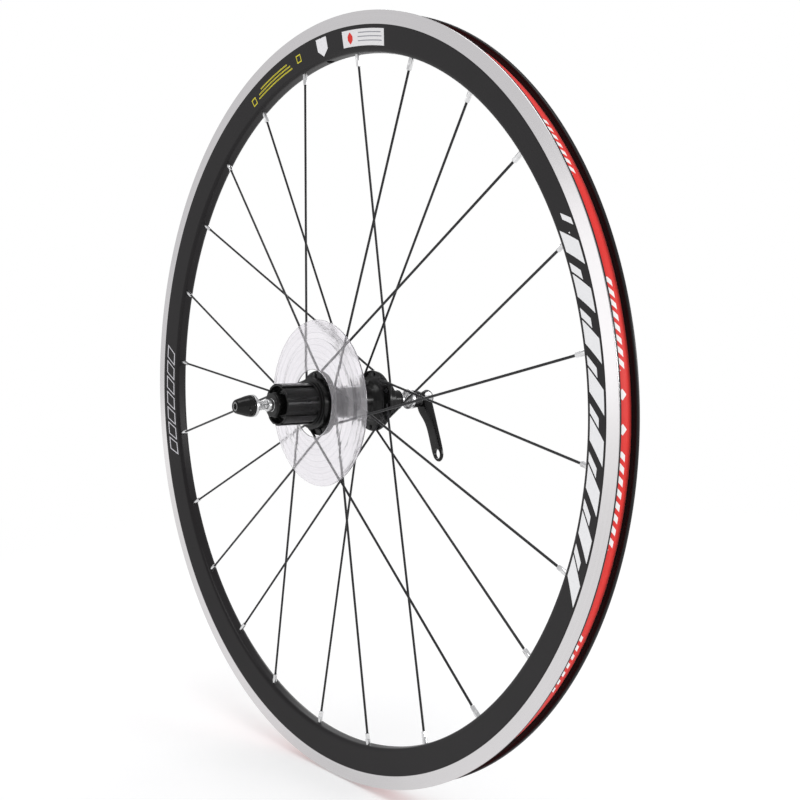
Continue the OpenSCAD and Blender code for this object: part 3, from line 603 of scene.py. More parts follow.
RIM_R, SEAT_R, TRACK_R, WELL_R, BED_R = 317.0, 311.0, 306.5, 306.7, 286.0
HALF_W, HALF_CHANNEL, HALF_BED = 9.8, 8.0, 5.3
BED_WALL, VALVE_R, LEDGE_W, HOOK = 2.4, 3.25, 1.4, 0.7
TAPE_CROWN, TAPE_T, TAPE_GAP = 1.9, 0.6, 0.3
RIM_SEGMENTS, HUB_SEGMENTS = 480, 240


def mirrored(half):
    """A half outline from the wheel's centre plane to itself, with its mirror image added."""
    half = np.asarray(half, float)
    return np.concatenate([half, half[::-1] * [1, -1]])


def make_rim():
    """The rim's section turned about the axle, with its hollow chamber and valve hole.

    A row of the half section is a radius, a distance from the centre plane and a corner radius.
    """
    half = np.array([
        (BED_R, HALF_BED, 2.6),
        (TRACK_R - 1.2, HALF_W - 0.35, 0.4),
        (TRACK_R - 0.25, HALF_W - 0.3, 0.1),
        (TRACK_R, HALF_W, 0.15),
        (RIM_R, HALF_W, 0.4),
        (RIM_R, HALF_CHANNEL + 0.2, 0.4),
        (RIM_R - 0.5, HALF_CHANNEL - HOOK, 0.4),
        (RIM_R - 1.6, HALF_CHANNEL - HOOK, 0.4),
        (RIM_R - 2.4, HALF_CHANNEL, 0.4),
        (SEAT_R, HALF_CHANNEL, 0.3),
        (SEAT_R, HALF_CHANNEL - LEDGE_W, 0.3),
        (SEAT_R - 1, HALF_CHANNEL - LEDGE_W - 0.4, 0.3),
        (WELL_R, HALF_CHANNEL - LEDGE_W - 1.2, 0.8),
    ])
    outline = mirrored(half[:, :2])
    radii = np.concatenate([half[:, 2], half[::-1, 2]])
    top, floor_r = WELL_R - 1.6, BED_R + BED_WALL
    chamber = mirrored([
        (floor_r, HALF_BED - 1.6), (floor_r + 3, HALF_BED - 0.6),
        (TRACK_R - 4.2, HALF_W - 2.8), (top, HALF_W - 3.1),
    ])
    made = solid("rim_extrusion", [
        turned(rounded(outline, radii, 3), RIM_SEGMENTS),
        turned(chamber, RIM_SEGMENTS, -1),
    ])
    valve = solid("valve_cutter", [rod([0, 0, BED_R - 6], [0, 0, RIM_R + 6], VALVE_R, 40)])
    combined(made, valve)
    kept(made, "wheel", RIM_BLACK, "rim", sharp=30)


def make_tape():
    """A band on the bead ledges whose radius rises over the well: R + crown (1 - (y/half)^2)."""
    half = HALF_CHANNEL - TAPE_GAP
    y = np.linspace(-half, half, 26)
    low = SEAT_R + TAPE_CROWN * (1 - (y / half) ** 2)
    edge = np.array([[SEAT_R + TAPE_T * 0.5, half + 0.12]])
    top = np.stack([low + TAPE_T, y], 1)[::-1]
    profile = np.concatenate([np.stack([low, y], 1), edge, top, edge * [1, -1]])
    made = solid("rim_tape_band", [turned(profile, RIM_SEGMENTS)])
    valve = solid("tape_cutter", [rod([0, 0, BED_R], [0, 0, RIM_R + 6], VALVE_R + 0.1, 40)])
    combined(made, valve)
    kept(made, "wheel", TAPE_RED, "rim_tape")


make_rim()
make_tape()

# ---------------------------------------------------------------- spokes and nipples

SPOKES, LACE, SPOKE_R, FLANGE_T = 24, 60.0, 1.0, 2.8
PITCH = 360 / SPOKES
FIRST_NIPPLE = 90 - PITCH / 2
DRIVE_Y, NON_DRIVE_Y = -18.5, 38.0
DRIVE_HOLES_R, NON_DRIVE_HOLES_R, FLANGE_EDGE = 24.0, 23.2, 3.2
SPOKE_SIDE = FLANGE_T / 2 + SPOKE_R + 0.12
EDGE_RUN = 1.9 * FLANGE_EDGE
SEAT_SIDE, BEND, WIRE_SIDES = 1.0, 1.5, 14
KEY_HALF, NIPPLE_TURN, NIPPLE_SIDES = 1.66, 0.9, 32


def lacing(i):
    """Corner at the hub, seat at the rim, side of the flange and flange place of one spoke."""
    drive = i % 2 == 1
    turn = 1 if i % 4 in (1, 2) else -1
    flange_y, holes_r = (DRIVE_Y, DRIVE_HOLES_R) if drive else (NON_DRIVE_Y, NON_DRIVE_HOLES_R)
    outward = -1 if drive else 1
    side = -outward if turn > 0 else outward
    rise = 0 if turn > 0 else EDGE_RUN * abs(flange_y) / (BED_R - holes_r)
    at_rim = FIRST_NIPPLE + i * PITCH
    corner = on_circle(holes_r, at_rim + turn * LACE, flange_y + side * (SPOKE_SIDE + rise))
    seat = on_circle(BED_R, at_rim, outward * SEAT_SIDE)
    return corner, seat, side, flange_y


def spoke(i):
    """A wire with a cone-shaped head, a short bend and a long straight run to its nipple.

    The bend is a parabola between the shank through the flange and the straight run.
    """
    corner, seat, side, flange_y = lacing(i)
    out = np.array([0.0, side, 0.0])
    run = (seat - corner) / np.linalg.norm(seat - corner)
    foot = corner.copy()
    foot[1] = flange_y - side * FLANGE_T / 2
    depth = np.array([-0.95, -0.95, -0.8, -0.35, 0.0, 0.25])
    head = foot + depth[:, None] * out
    head_r = np.array([0.0, 1.3, 1.75, 1.85, 1.6, SPOKE_R])
    t = np.linspace(0, 1, 9)[:, None]
    start, end = corner - BEND * out, corner + BEND * run
    arc = (1 - t) ** 2 * start + 2 * t * (1 - t) * corner + t**2 * end
    line = straight(end, seat + run * BED_WALL, 12)[1:]
    path = np.concatenate([head, arc, line, line[-1:]])
    radii = np.concatenate([head_r, np.full(len(arc) + len(line), SPOKE_R), [0.0]])
    # the two tips sit just past their neighbours, so that the ends close flat
    tip = 1e-3
    path[-1] = path[-2] + run * tip
    path[0] = path[1] - out * tip
    across = np.cross(out, run)
    return swept(path, radii, across / np.linalg.norm(across), WIRE_SIDES)


def nipple(i):
    """A shank that is square where a key grips it, round above, with a head inside the rim.

    The radius at an angle is the round radius, or where the shank is square the smaller of it
    and half the square's width over the larger of |cos| and |sin|. A row of the profile is a
    distance along the nipple, the round radius and how square the shank is.
    """
    corner, seat, _, _ = lacing(i)
    run = (seat - corner) / np.linalg.norm(seat - corner)
    first = np.cross(run, [0.0, 1.0, 0.0])
    first /= np.linalg.norm(first)
    second = np.cross(run, first)
    profile = np.array([
        (-9.5, 1.02, 0), (-9.5, 1.5, 0), (-9.2, 1.8, 0.6), (-8.9, 1.95, 1), (-8.7, 2, 1), (-5.4, 2, 1),
        (-4.9, 2, 0.5), (-4.5, 2, 0), (-1, 2, 0), (2.7, 2, 0), (3, 2, 0), (3, 2.9, 0),
        (4.6, 2.9, 0), (5.6, 2.5, 0), (5.8, 1.6, 0), (5.8, 1.02, 0),
    ])
    along, r, square = (column[:, None] for column in profile.T)
    a = around(NIPPLE_SIDES)
    flat = KEY_HALF / np.maximum(np.abs(np.cos(a)), np.abs(np.sin(a)))
    radius = r * (1 - square) + np.minimum(r, flat) * square
    a = a + NIPPLE_TURN * i
    ring = np.cos(a)[None, :, None] * first + np.sin(a)[None, :, None] * second
    grid = (seat + along * run)[:, None] + radius[..., None] * ring
    return np.concatenate([grid, grid[:1]]), False, True, 1


for first, node in ((1, "drive_trailing_spokes"), (3, "drive_leading_spokes"),
                    (2, "non_drive_trailing_spokes"), (0, "non_drive_leading_spokes")):
    made = solid(node.replace("spokes", "wires"), [spoke(i) for i in range(first, SPOKES, 4)])
    kept(made, "wheel", SPOKE_DARK, node, sharp=50)

for first, node in ((1, "drive_nipples"), (0, "non_drive_nipples")):
    made = solid(node + "_plated", [nipple(i) for i in range(first, SPOKES, 2)])
    kept(made, "wheel", NIPPLE_SILVER, node, sharp=30)

# ---------------------------------------------------------------- hub shell and axle

DRIVE_OUT, DRIVE_IN = DRIVE_Y - FLANGE_T / 2, DRIVE_Y + FLANGE_T / 2
NON_OUT, NON_IN = NON_DRIVE_Y + FLANGE_T / 2, NON_DRIVE_Y - FLANGE_T / 2
DRIVE_FLANGE_R = DRIVE_HOLES_R + FLANGE_EDGE
NON_FLANGE_R = NON_DRIVE_HOLES_R + FLANGE_EDGE


def make_hub():
    """The hub's section turned about the axle, with a drilled hole for every spoke."""
    outline = [
        (19.5, -27.2), (21.5, -27.2), (21.5, DRIVE_OUT - 0.6), (22.1, DRIVE_OUT),
        (DRIVE_FLANGE_R, DRIVE_OUT), (DRIVE_FLANGE_R, DRIVE_IN), (20.7, DRIVE_IN),
        (18.3, DRIVE_IN + 2), (16.2, -8.5), (14.2, -4.3), (13.2, -0.5),
        (13.2, NON_IN - 8), (14.4, NON_IN - 4.5), (16.6, NON_IN - 1.4), (18.6, NON_IN),
        (NON_FLANGE_R, NON_IN), (NON_FLANGE_R, NON_OUT), (20.2, NON_OUT),
        (18.5, NON_OUT + 1.6), (17.6, NON_OUT + 4), (17.6, 50.7),
        (14.0, 50.7), (14.0, 42.5), (11.4, 42.5), (11.4, -8.5), (14.0, -8.5), (14.0, -17.2),
        (19.5, -17.2),
    ]
    radii = [0.2, 0.5, 0.4, 0.4, 0.8, 0.8, 0.8, 1.2, 1.5, 2.0, 2.5, 2.5, 2.0, 1.5, 0.8,
             0.8, 0.8, 0.8, 1.0, 1.5, 0.8, 0.2, 0.1, 0.1, 0.1, 0.1, 0.1, 0.2]
    made = solid("hub_shell_turned", [turned(rounded(outline, radii), HUB_SEGMENTS)])
    reach, clearance = 2.2, 0.25
    holes = []
    for i in range(SPOKES):
        corner, _, _, flange_y = lacing(i)
        low, high = corner.copy(), corner.copy()
        low[1], high[1] = flange_y - reach, flange_y + reach
        holes.append(rod(low, high, SPOKE_R + clearance, 20))
    combined(made, solid("hole_cutters", holes))
    kept(made, "wheel", HUB_BLACK, "hub_shell", sharp=30)


def ring_piece(name, outline, radius, body, finish, node, segments=128):
    """A turned ring or tube with rounded corners that stands for one node."""
    made = solid(name, [turned(rounded(outline, radius, 4), segments)])
    kept(made, body, finish, node)


make_hub()

ring_piece(
    "axle_turned",
    [(2.8, -70), (4.5, -70), (5, -69.5), (5, -65), (5.3, -65), (5.3, -60), (7.5, -60),
     (7.5, -8.5), (8.8, -8.5), (8.8, -6), (7.5, -6), (7.5, 40), (8.8, 40), (8.8, 42.5),
     (7.5, 42.5), (7.5, 49.5), (5.3, 49.5), (5.3, 65), (5, 65), (5, 69.5), (4.5, 70), (2.8, 70)],
    0.25, "axle", STEEL, "axle",
)
ring_piece(
    "non_drive_end_sleeve",
    [(5.3, 49.5), (8.8, 49.5), (8.8, 62.6), (8.5, 62.8), (8.5, 63.2), (8.8, 63.4), (8.8, 65),
     (5.3, 65)],
    0.35, "axle", HUB_BLACK, "non_drive_end_cap",
)


def make_drive_cap():
    """The stepped cap with two wrench flats, its flange's radius held in by the flats."""
    outline = rounded([
        (5.3, -65), (9.6, -65), (10.5, -64), (10.5, -62), (9.2, -60.6), (8.6, -60.6),
        (8.6, -52), (7.5, -52), (7.5, -60), (5.3, -60),
    ], 0.25)

    flat_half, flange_end = 9.6, -61.9

    def flats(t, r, y):
        flat = flat_half / np.maximum(np.abs(np.sin(t)), 1e-6)
        return np.where(y < flange_end, np.minimum(r, flat), r), y

    made = solid("drive_end_cap_stepped", [shaped_turn(outline, around(192), flats)])
    kept(made, "axle", HUB_BLACK, "drive_end_cap")


make_drive_cap()

# ---------------------------------------------------------------- freehub body

SPLINE_R, SPLINE_DEPTH, SPLINE_COUNT, SPLINE_START, SPLINE_END = 17.3, 1.2, 9, 14, -29.9
SPLINE_PITCH, GROOVE_HALF, KEY_GROOVE_HALF, GROOVE_SLOPE = 360 / SPLINE_COUNT, 1.8, 1.1, 0.26


def groove(k):
    """Middle and half width of one groove, in degrees; the first one is the narrow key."""
    half = math.degrees((GROOVE_HALF if k else KEY_GROOVE_HALF) / SPLINE_R)
    return k * SPLINE_PITCH + SPLINE_START, half


def make_freehub():
    """A turned body whose radius drops in nine straight grooves.

    The groove's depth rises in a straight slope at its edges, and it ends short of the inboard
    lip.
    """
    outline = rounded([
        (15.8, -60), (16.7, -60), (SPLINE_R, -59.4), (SPLINE_R, -46), (SPLINE_R, -30.2),
        (SPLINE_R, -29.1), (18.1, -29.1), (18.1, -27.5), (15.6, -27.5), (15.6, -17.7),
        (9.1, -17.7), (9.1, -26.6), (12, -26.6), (12, -31.6), (11.2, -31.6), (11.2, -47),
        (12, -47), (12, -52),
        (15.3, -52), (15.3, -59.5),
    ], 0.3)
    edges = []
    for k in range(SPLINE_COUNT):
        middle, half = groove(k)
        for edge in (middle - half, middle + half):
            edges += [edge - 0.5, edge - 0.12, edge + 0.12, edge + 0.5]
        edges += [middle + half + step for step in np.linspace(3, SPLINE_PITCH - 2 * half - 3, 7)]
        edges += [middle - half / 2, middle, middle + half / 2]
    angles = np.radians(np.unique(np.array(edges) % 360))

    def grooves(t, r, y):
        degrees = np.degrees(t) % 360
        depth = np.zeros_like(degrees)
        for k in range(SPLINE_COUNT):
            middle, half = groove(k)
            off = np.abs((degrees - middle + 180) % 360 - 180)
            depth = np.maximum(depth, np.clip((half - off) / GROOVE_SLOPE + 0.5, 0, 1))
        outer = (r > 16.2) & (y < SPLINE_END)
        return np.where(outer, np.minimum(r, SPLINE_R - SPLINE_DEPTH * depth), r), y

    made = solid("freehub_splined", [shaped_turn(outline, angles, grooves)])
    kept(made, "freehub", FREEHUB_BLACK, "freehub_body", sharp=32)


make_freehub()

# ---------------------------------------------------------------- spoke protector


def make_disc():
    """A pressed disc that leans in with the radius, with soft outward steps between its rings."""
    rise = EDGE_RUN * -DRIVE_Y / (BED_R - DRIVE_HOLES_R)
    start = DRIVE_Y - SPOKE_SIDE - rise - SPOKE_R - 0.3
    slope = (-DRIVE_Y + SPOKE_SIDE) / (BED_R - DRIVE_HOLES_R) * 0.9
    r = np.linspace(DISC_IN, DISC_OUT, 150)
    rings = np.linspace(DISC_IN, DISC_OUT, DISC_RINGS + 1)
    steps = np.interp(r, rings, [1.4, 0, 0, 1.2, 1.2, 0, 0.9, 0.9, 0])
    face = start + slope * (r - DRIVE_HOLES_R) - smoothed(steps, 5)
    lip = 0.18
    profile = np.concatenate([
        np.stack([r, face], 1),
        [[DISC_OUT + lip, face[-1] - DISC_T / 2]],
        np.stack([r, face - DISC_T], 1)[::-1],
        [[DISC_IN - lip, face[0] - DISC_T / 2]],
    ])
    made = solid("clear_spoke_protector", [turned(profile, HUB_SEGMENTS)])
    kept(made, "wheel", DISC_CLEAR, "spoke_protector", sharp=60)


make_disc()

# ---------------------------------------------------------------- quick release

PIN_Y, PIN_R, SHOE_R, LEVER_TURN = 95.9, 4.4, 12, math.radians(18)
ROD_R, ROD_START, ROD_END = 2.45, -93.8, PIN_Y + 2.9
THREAD_END, THREAD_PITCH, THREAD_DEPTH = -58, 0.8, 0.32
WIRE_R, SPRING_R, SPRING_GROWTH, SPRING_POWER = 0.45, 3.2, 2.8, 2.2


def make_rod():
    """A rod whose drive end carries a thread.

    The radius dips by the depth times |2p - 1|, where the phase p is the rest of y over the
    pitch plus the angle in turns. The thread fades in at the rod's start.
    """
    step = 0.1
    threaded = np.arange(ROD_START + 2 * step, THREAD_END - step / 2, step)
    y = np.concatenate([threaded, np.linspace(THREAD_END + step, ROD_END - 0.3, 20)])[:, None]
    t = around(28)
    phase = (y / THREAD_PITCH + t / TURN) % 1.0
    fade = (y < THREAD_END) * np.clip((y - ROD_START) / 0.6, 0, 1)
    radius = ROD_R - THREAD_DEPTH * np.abs(phase * 2 - 1) * fade
    grid = np.stack([radius * np.cos(t), np.broadcast_to(y, radius.shape), radius * np.sin(t)], -1)
    first, last = grid[:1].copy(), grid[-1:].copy()
    first[..., [0, 2]] *= 0.8
    first[..., 1] = ROD_START
    last[..., [0, 2]] *= 0.9
    last[..., 1] = ROD_END
    made = solid("skewer_threaded_rod", [capped(np.concatenate([first, grid, last]))])
    kept(made, "rod_body", STEEL, "skewer_rod", sharp=60)


def make_nut():
    """A tapered nut with two finger grooves.

    In a groove the radius is that of a round cutter beside the axis: c cos d - sqrt(g^2 -
    c^2 sin^2 d), taken where it is less than the nut's own radius, and faded in at the root.
    """
    outline = rounded([
        (3.7, -83.6), (8.6, -83.6), (8.95, -85), (8.3, -88.2), (6.2, -95.8), (5.4, -98),
        (4.5, -98.8), (3.7, -98.8),
    ], [0.2, 0.5, 0.6, 1.5, 1.0, 0.8, 0.4, 0.2], 6)
    # more points down the tapered side, between its fourth and fifth rounded corners
    split = 4 * 8
    side = straight((8.25, -88.6), (6.26, -95.4), 40)
    outline = np.concatenate([outline[:split], side, outline[split:]])
    centre, cutter, far, bore = 12.1, 4.7, 99.0, 4.2
    root, root_run = -85.4, 2.2

    def grooves(t, r, y):
        best = np.full(np.broadcast(t, r).shape, far)
        for middle in (math.radians(-12), math.radians(168)):
            off = t - middle
            inside = np.clip(cutter**2 - (centre * np.sin(off)) ** 2, 0, None)
            reached = (inside > 0) & (np.cos(off) > 0)
            best = np.minimum(best, np.where(reached, centre * np.cos(off) - np.sqrt(inside), far))
        fade = np.clip((root - y) / root_run, 0, 1)
        fade = fade * fade * (3 - 2 * fade)
        cut = np.minimum(r, best)
        return np.where(r > bore, r + (cut - r) * fade, r), y

    made = solid("skewer_nut_grip", [shaped_turn(outline, around(240), grooves)])
    kept(made, "nut_body", SKEWER_BLACK, "qr_nut", sharp=40)


def serrated(name, face_y, direction, length, edge, node, body):
    """A cup whose clamping face is cut into radial teeth: y moves by a triangle wave."""
    teeth, height, bore_r, cup_r, outer_r, floor = 30, 0.4, 2.75, 6.9, 9, 0.8
    outline = np.array([
        (cup_r, 0), (outer_r - edge, 0), (outer_r, 0.4), (outer_r, length), (bore_r, length),
        (bore_r, length - floor), (cup_r, length - floor),
    ])
    outline[:, 1] = face_y + direction * outline[:, 1]

    def wave(angle, r, y):
        tooth = np.abs((angle * teeth / TURN) % 1.0 * 2 - 1) * height
        face = (np.abs(y - face_y) < 0.25) & (r > 6.8) & (r < 8.8)
        return r, np.where(face, y + direction * tooth, y)

    made = solid(name, [shaped_turn(rounded(outline, 0.25, 4), around(teeth * 8), wave)])
    kept(made, body, STEEL, node, sharp=25)


def spring(name, turns, start_y, end_y, ends, node):
    """A coned coil: radius grows with the turn to the power 2.2 while y runs on evenly."""
    t = np.linspace(0, 1, turns * 30 + 1)
    a = TURN * turns * t
    r = SPRING_R + SPRING_GROWTH * t**SPRING_POWER
    path = np.stack([r * np.cos(a), start_y + (end_y - start_y) * t, r * np.sin(a)], 1)
    radii = np.full(len(t), WIRE_R)
    radii[[0, -1]] = 0.0
    radii[[1, -2]] = WIRE_R - 0.03
    # the last step of each end is drawn in, so that the wire ends in a flat face
    flat = 0.05
    path[0] = path[1] + (path[0] - path[1]) * flat
    path[-1] = path[-2] + (path[-1] - path[-2]) * flat
    made = solid(name, [swept(path, radii, np.array([0.0, 1.0, 0.0]), 12)])
    held = ends + ((0, start_y * MM, 0), (0, end_y * MM, 0))
    kept(made, held, SPRING_STEEL, node, sharp=70)


make_rod()
make_nut()
serrated("nut_washer_serrated", -81, -1, 2.5, 0.3, "nut_washer", "washer_body")
serrated("clamp_ring_serrated", 76, 1, 2.9, 0.4, "clamp_ring", "clamp_ring_body")
ring_piece("nut_steel_insert", [(2.5, -98.5), (3.7, -98.5), (3.7, -86.1), (2.5, -86.1)],
           0.2, "nut_body", INSERT_SHADED_STEEL, "nut_insert", 64)
ring_piece("nut_nylon_ring", [(2.5, -86), (3.7, -86), (3.7, -83.8), (2.5, -83.8)],
           0.2, "nut_body", LOCK_WHITE, "nut_lock_ring", 64)
spring("drive_side_spring", 5, -70.55, -82.15, ("rod_body", "washer_body"), "drive_spring")
spring("non_drive_side_spring", 4, 70.55, 77.55, ("axle", "clamp_ring_body"), "non_drive_spring")
ring_piece(
    "skewer_cap_waisted",
    [(2.75, 79), (8.4, 79), (8.7, 79.6), (8.4, 82.3), (7.8, 86.7), (7.3, 87.2), (6.5, 87.2),
     (6.5, 85), (2.75, 85)],
    [0.2, 0.4, 0.4, 1.2, 0.5, 0.3, 0.2, 0.1, 0.1], "cap_body", SKEWER_BLACK,
    "skewer_cap",
)


def from_lever(points):
    """Points in the lever's own frame (x along the pin, y from the pin, z up) put in place."""
    points = np.asarray(points, float)
    x, y, z = points[..., 0], points[..., 1], points[..., 2]
    c, s = math.cos(LEVER_TURN), math.sin(LEVER_TURN)
    return np.stack([x * c - z * s, y + PIN_Y, x * s + z * c], -1)


def lever_shell(shell):
    """A shell moved from the lever's own frame."""
    return (from_lever(shell[0]),) + shell[1:]


def about_pin(end, sides, off_axis=0.0):
    """A barrel about the pin's axis: (x, r cos a - offset, r sin a).

    Its end's points, (x, radius), run from the rim of the barrel to its axis, and the other end
    is their mirror image.
    """
    end = np.array(end, float)
    profile = np.concatenate([end[::-1] * [-1, 1], end])
    x, r = (column[:, None] for column in profile.T)
    a = around(sides)
    rings = [np.broadcast_to(x, (len(x), sides)), r * np.cos(a) - off_axis, r * np.sin(a)]
    return lever_shell((np.stack(rings, -1), False, True, 1))


def prism(loop, low, high):
    """An outline in x and z carried along y between two places, in the lever's own frame."""
    rings = [np.insert(loop, 1, y, axis=1) for y in (low, high)]
    return lever_shell(capped(np.stack(rings)))


def make_pin():
    """The barrel pin, turned about its own axis, with a shallow dish in each end."""
    end = [(6.9, PIN_R), (7.2, 4.1), (7.2, 3.6), (7.0, 2.9), (6.9, 2.2), (6.9, 0)]
    made = solid("cam_barrel_pin_dished", [about_pin(end, 64)])
    hole = solid("pin_cutter", [rod([0, PIN_Y - 8, 0], [0, PIN_Y + 3, 0], ROD_R + 0.01, 32)])
    combined(made, hole)
    kept(made, "rod_body", PIN_STEEL, "cam_barrel_pin", sharp=30)


def make_shoe():
    """The cam shoe: a short turned plug with a hollow face under the cam."""
    outline = rounded([(2.75, 85), (6.5, 85), (6.5, 90.2), (2.75, 90.2)], 0.3)
    made = solid("cam_shoe_hollowed", [turned(outline, 96)])
    thinnest = 88.6
    centre = thinnest + SHOE_R - PIN_Y
    hollow = rod([-9, centre, 0], [9, centre, 0], SHOE_R, 96)
    combined(made, solid("shoe_cutter", [lever_shell(hollow)]))
    kept(made, "cap_body", SHOE_DARK, "cam_shoe", sharp=30)


def make_lever():
    """The lever: an arm lofted down a curved line, joined to the cam and cut for pin and fork.

    Each section of the arm is a superellipse |u|^4 + |v|^4 = 1, wide along the pin and thin
    across it; its widths and its line's place are smooth curves of the distance down.
    """
    down = np.array([4.0, 2.0, -2.0, -5.0, -8.0, -11.0, -14.5, -19.0, -25.0, -33.0, -42.0, -48.0,
                     -52.0, -55.5, -57.6, -58.7, -59.0])
    inner = np.array([-3.2, -4.6, -5.6, -6.2, -6.4, -6.0, -4.4, -2.2, -0.7, -0.3, -0.2, -0.1,
                      0.1, 0.4, 0.8, 1.3, 1.6])
    outer = np.array([3.0, 3.4, 3.9, 4.1, 4.2, 4.25, 4.25, 4.2, 4.15, 4.05, 3.9, 3.6,
                      3.4, 3.2, 2.9, 2.4, 1.9])
    half = np.array([6.1, 6.4, 6.5, 6.5, 6.5, 6.45, 6.35, 6.2, 6.1, 6.15, 6.35, 6.5,
                     6.4, 5.2, 3.6, 1.9, 0.4])
    fine = np.concatenate([np.linspace(4, -54, 60), np.linspace(-54.3, -59, 26)])
    lines = (inner, outer, half)
    inner, outer, half = (smoothed(np.interp(fine, down[::-1], v[::-1]), 7) for v in lines)
    half[-1] = 0.3
    a = around(48)
    power = 0.42
    u = np.sign(np.cos(a)) * np.abs(np.cos(a)) ** power
    v = np.sign(np.sin(a)) * np.abs(np.sin(a)) ** power
    middle, thick = (inner + outer) / 2, (outer - inner) / 2
    grid = np.stack([half[:, None] * u, middle[:, None] + thick[:, None] * v,
                     np.broadcast_to(fine[:, None], (len(fine), len(a)))], -1)
    made = solid("lever_arm", [lever_shell(capped(grid))])
    end = [(6.5, 6.2), (6.5, 6.1), (6.3, 5.9), (6.1, 5.5), (6.1, 0)]
    combined(made, solid("lever_cam", [about_pin(end, 96, 0.8)]), "UNION")
    pin = rod([-12, 0, 0], [12, 0, 0], PIN_R + 0.05, 64)
    combined(made, solid("lever_pin_cutter", [lever_shell(pin)]))
    fork, fork_end = 2.95, -3.25
    corners = [(-fork, fork_end), (fork, fork_end), (fork, 17), (-fork, 17)]
    slot = prism(rounded(corners, [1.2, 1.2, 0.1, 0.1], 6), -12, 12)
    combined(made, solid("lever_slot_cutter", [slot]))
    oval = np.stack([4.0 * np.cos(a), 4.6 * np.sin(a) - 51.7], 1)
    combined(made, solid("lever_hole_cutter", [prism(oval, -4, 8)]))
    bevel = made.modifiers.new("edge", "BEVEL")
    bevel.width, bevel.segments, bevel.angle_limit = 0.0003, 2, math.radians(40)
    kept(made, "lever_body", SKEWER_BLACK, "lever")


make_pin()
make_shoe()
make_lever()

# ---------------------------------------------------------------- inner pieces kept from the CAD

INNER = [
    (bright_metal("bearing_race_steel", 0.6, 0.18, (1, 5, 1), 600.0),
     ["hub_bearing_inner_races", "hub_bearing_outer_races", "freehub_bearing_inner_races",
      "freehub_bearing_outer_races", "bearing_spacer", "freehub_spacer"]),
    (bright_metal("ball_polished_steel", 0.8, 0.08, (1, 1, 1), 2000.0),
     ["hub_bearing_balls", "freehub_bearing_balls"]),
    (bright_metal("hardened_steel", 0.36, 0.3, (1, 3, 1), 700.0),
     ["ratchet_ring", "pawl_1", "pawl_2", "pawl_3", "pawl_springs"]),
    (bright_metal("cage_brass", 0.5, 0.28, (1, 1, 1), 900.0, 0.55),
     ["hub_bearing_cages", "freehub_bearing_cages"]),
    (moulded("seal_rubber", shade(0.02), 0.6),
     ["hub_bearing_seals", "freehub_bearing_seals", "non_drive_seal", "freehub_seal"]),
]
for finish, names in INNER:
    for node in names:
        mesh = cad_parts[node].data
        mesh.materials.clear()
        mesh.materials.append(finish)

# ---------------------------------------------------------------- camera, floor and light


AZIMUTH, ELEVATION, ROLL = 51.84, 1.95, -0.99
DISTANCE, SHIFT_RIGHT, SHIFT_UP = 924.95, 53.40, 1.88
LENS, SENSOR = 49.05, 36


def turned_axes(azimuth, elevation, roll):
    """Right, up and back directions of a camera that looks at the origin."""
    az, el, roll = (math.radians(v) for v in (azimuth, elevation, roll))
    back = np.array([math.sin(az) * math.cos(el), -math.cos(az) * math.cos(el), math.sin(el)])
    right = np.cross(-back, [0, 0, 1])
    right /= np.linalg.norm(right)
    up = np.cross(right, -back)
    return (right * math.cos(roll) + up * math.sin(roll),
            up * math.cos(roll) - right * math.sin(roll), back)


def placed(data, name, place, axes):
    """An object with its place in metres and its right, up and back directions."""
    made = bpy.data.objects.new(name, data)
    columns = Matrix(np.stack(axes, 1).tolist()).to_4x4()
    made.matrix_world = Matrix.Translation(place) @ columns
    bpy.context.scene.collection.objects.link(made)
    return made


right, up, back = turned_axes(AZIMUTH, ELEVATION, ROLL)
place = (back * DISTANCE + right * SHIFT_RIGHT + up * SHIFT_UP) * MM
camera = placed(bpy.data.cameras.new("camera"), "camera", place.tolist(), (right, up, back))
camera.data.lens, camera.data.sensor_width = LENS, SENSOR
camera.data.clip_start, camera.data.clip_end = 0.05, 50
bpy.context.scene.camera = camera


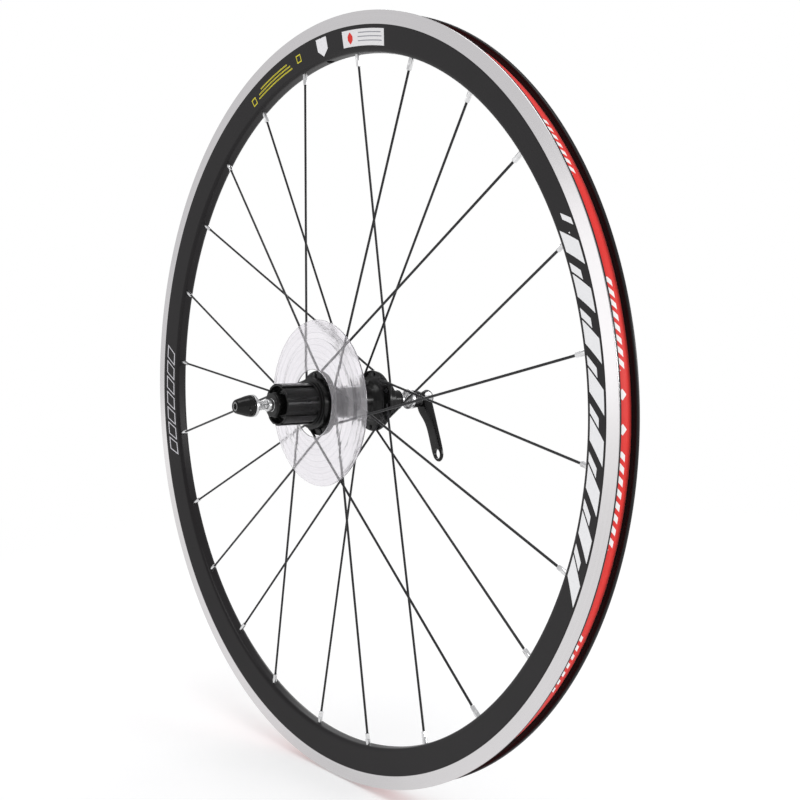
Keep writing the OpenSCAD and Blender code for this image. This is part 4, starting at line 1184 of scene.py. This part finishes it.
def make_floor():
    """A pale floor under the wheel with a painted glow that grows further out, so that it fades into
    the bright studio.
    """
    paint = Paint("pale_floor")
    grain = paint.noise(8.0, 3.0)
    away = ((paint.x * paint.x + paint.y * paint.y) ** 0.5).soft(0.45, 1.8)
    near = paint.mix(grain, shade(0.62), shade(0.66))
    # painted glow: further out the floor's own colour gives way to light that it gives off itself,
    # faint near the wheel and full white far away
    colour = paint.mix(away, near, shade(0.0))
    glow = paint.mix(away, shade(0.38), shade(1.0))
    finish = paint.finish({"Specular IOR Level": 0.0, "Emission Strength": 1.0}, colour=colour,
                          glow=glow, roughness=0.9 + grain * 0.05)
    far, top, bottom = 9000, -318, -330
    section = [(-far, bottom), (far, bottom), (far, top), (-far, top)]
    grid = np.array([[(x, y, z) for y in (-far, far)] for x, z in section], float)
    floor = solid("floor", [(grid, True, False, 1)])
    floor.data.materials.append(finish)


make_floor()


def panel(name, place, aim, size, brightness):
    """A soft box at a place in metres, turned towards a point.

    Its power is worked out from how bright its face is: brightness times pi times its area.
    """
    light = bpy.data.lights.new(name, "AREA")
    light.shape, light.size, light.size_y = "RECTANGLE", size[0], size[1]
    light.energy = brightness * math.pi * size[0] * size[1]
    back = np.array(place, float) - aim
    back /= np.linalg.norm(back)
    side = np.cross([0, 0, 1], back)
    side /= np.linalg.norm(side)
    placed(light, name, place, (side, np.cross(back, side), back))


panel("key_left", (-1.75, -1.55, 0.25), (0, 0, 0.05), (2.6, 2.6), 0.22)
panel("glint_left", (-1.05, -1.6, 0.2), (0.3, 0, 0.05), (0.5, 0.55), 0.8)
panel("strip_right", (1.95, 1.5, 0.35), (0, 0, 0), (1.5, 0.35), 12.0)
panel("overhead", (0.4, -0.5, 2.4), (0, 0, 0), (1.6, 1.6), 3.0)
panel("rear", (-1.6, 1.9, 1.0), (0, 0, 0), (1.2, 1.2), 3.0)

world = bpy.data.worlds.new("studio")
bpy.context.scene.world = world
world.use_nodes = True
sky = world.node_tree
background = sky.nodes["Background"]
seen = sky.nodes.new("ShaderNodeLightPath")
clear = sky.nodes.new("ShaderNodeMath")
clear.operation = "MAXIMUM"
sky.links.new(seen.outputs["Is Camera Ray"], clear.inputs[0])
sky.links.new(seen.outputs["Is Transmission Ray"], clear.inputs[1])
tint = sky.nodes.new("ShaderNodeMix")
tint.data_type = "RGBA"
tint.inputs[6].default_value = shade(0.62, 0.62, 0.63)
tint.inputs[7].default_value = shade(1.0)
sky.links.new(clear.outputs[0], tint.inputs[0])
sky.links.new(tint.outputs[2], background.inputs["Color"])
background.inputs["Strength"].default_value = 1.0
bpy.context.scene.view_settings.view_transform = "Standard"
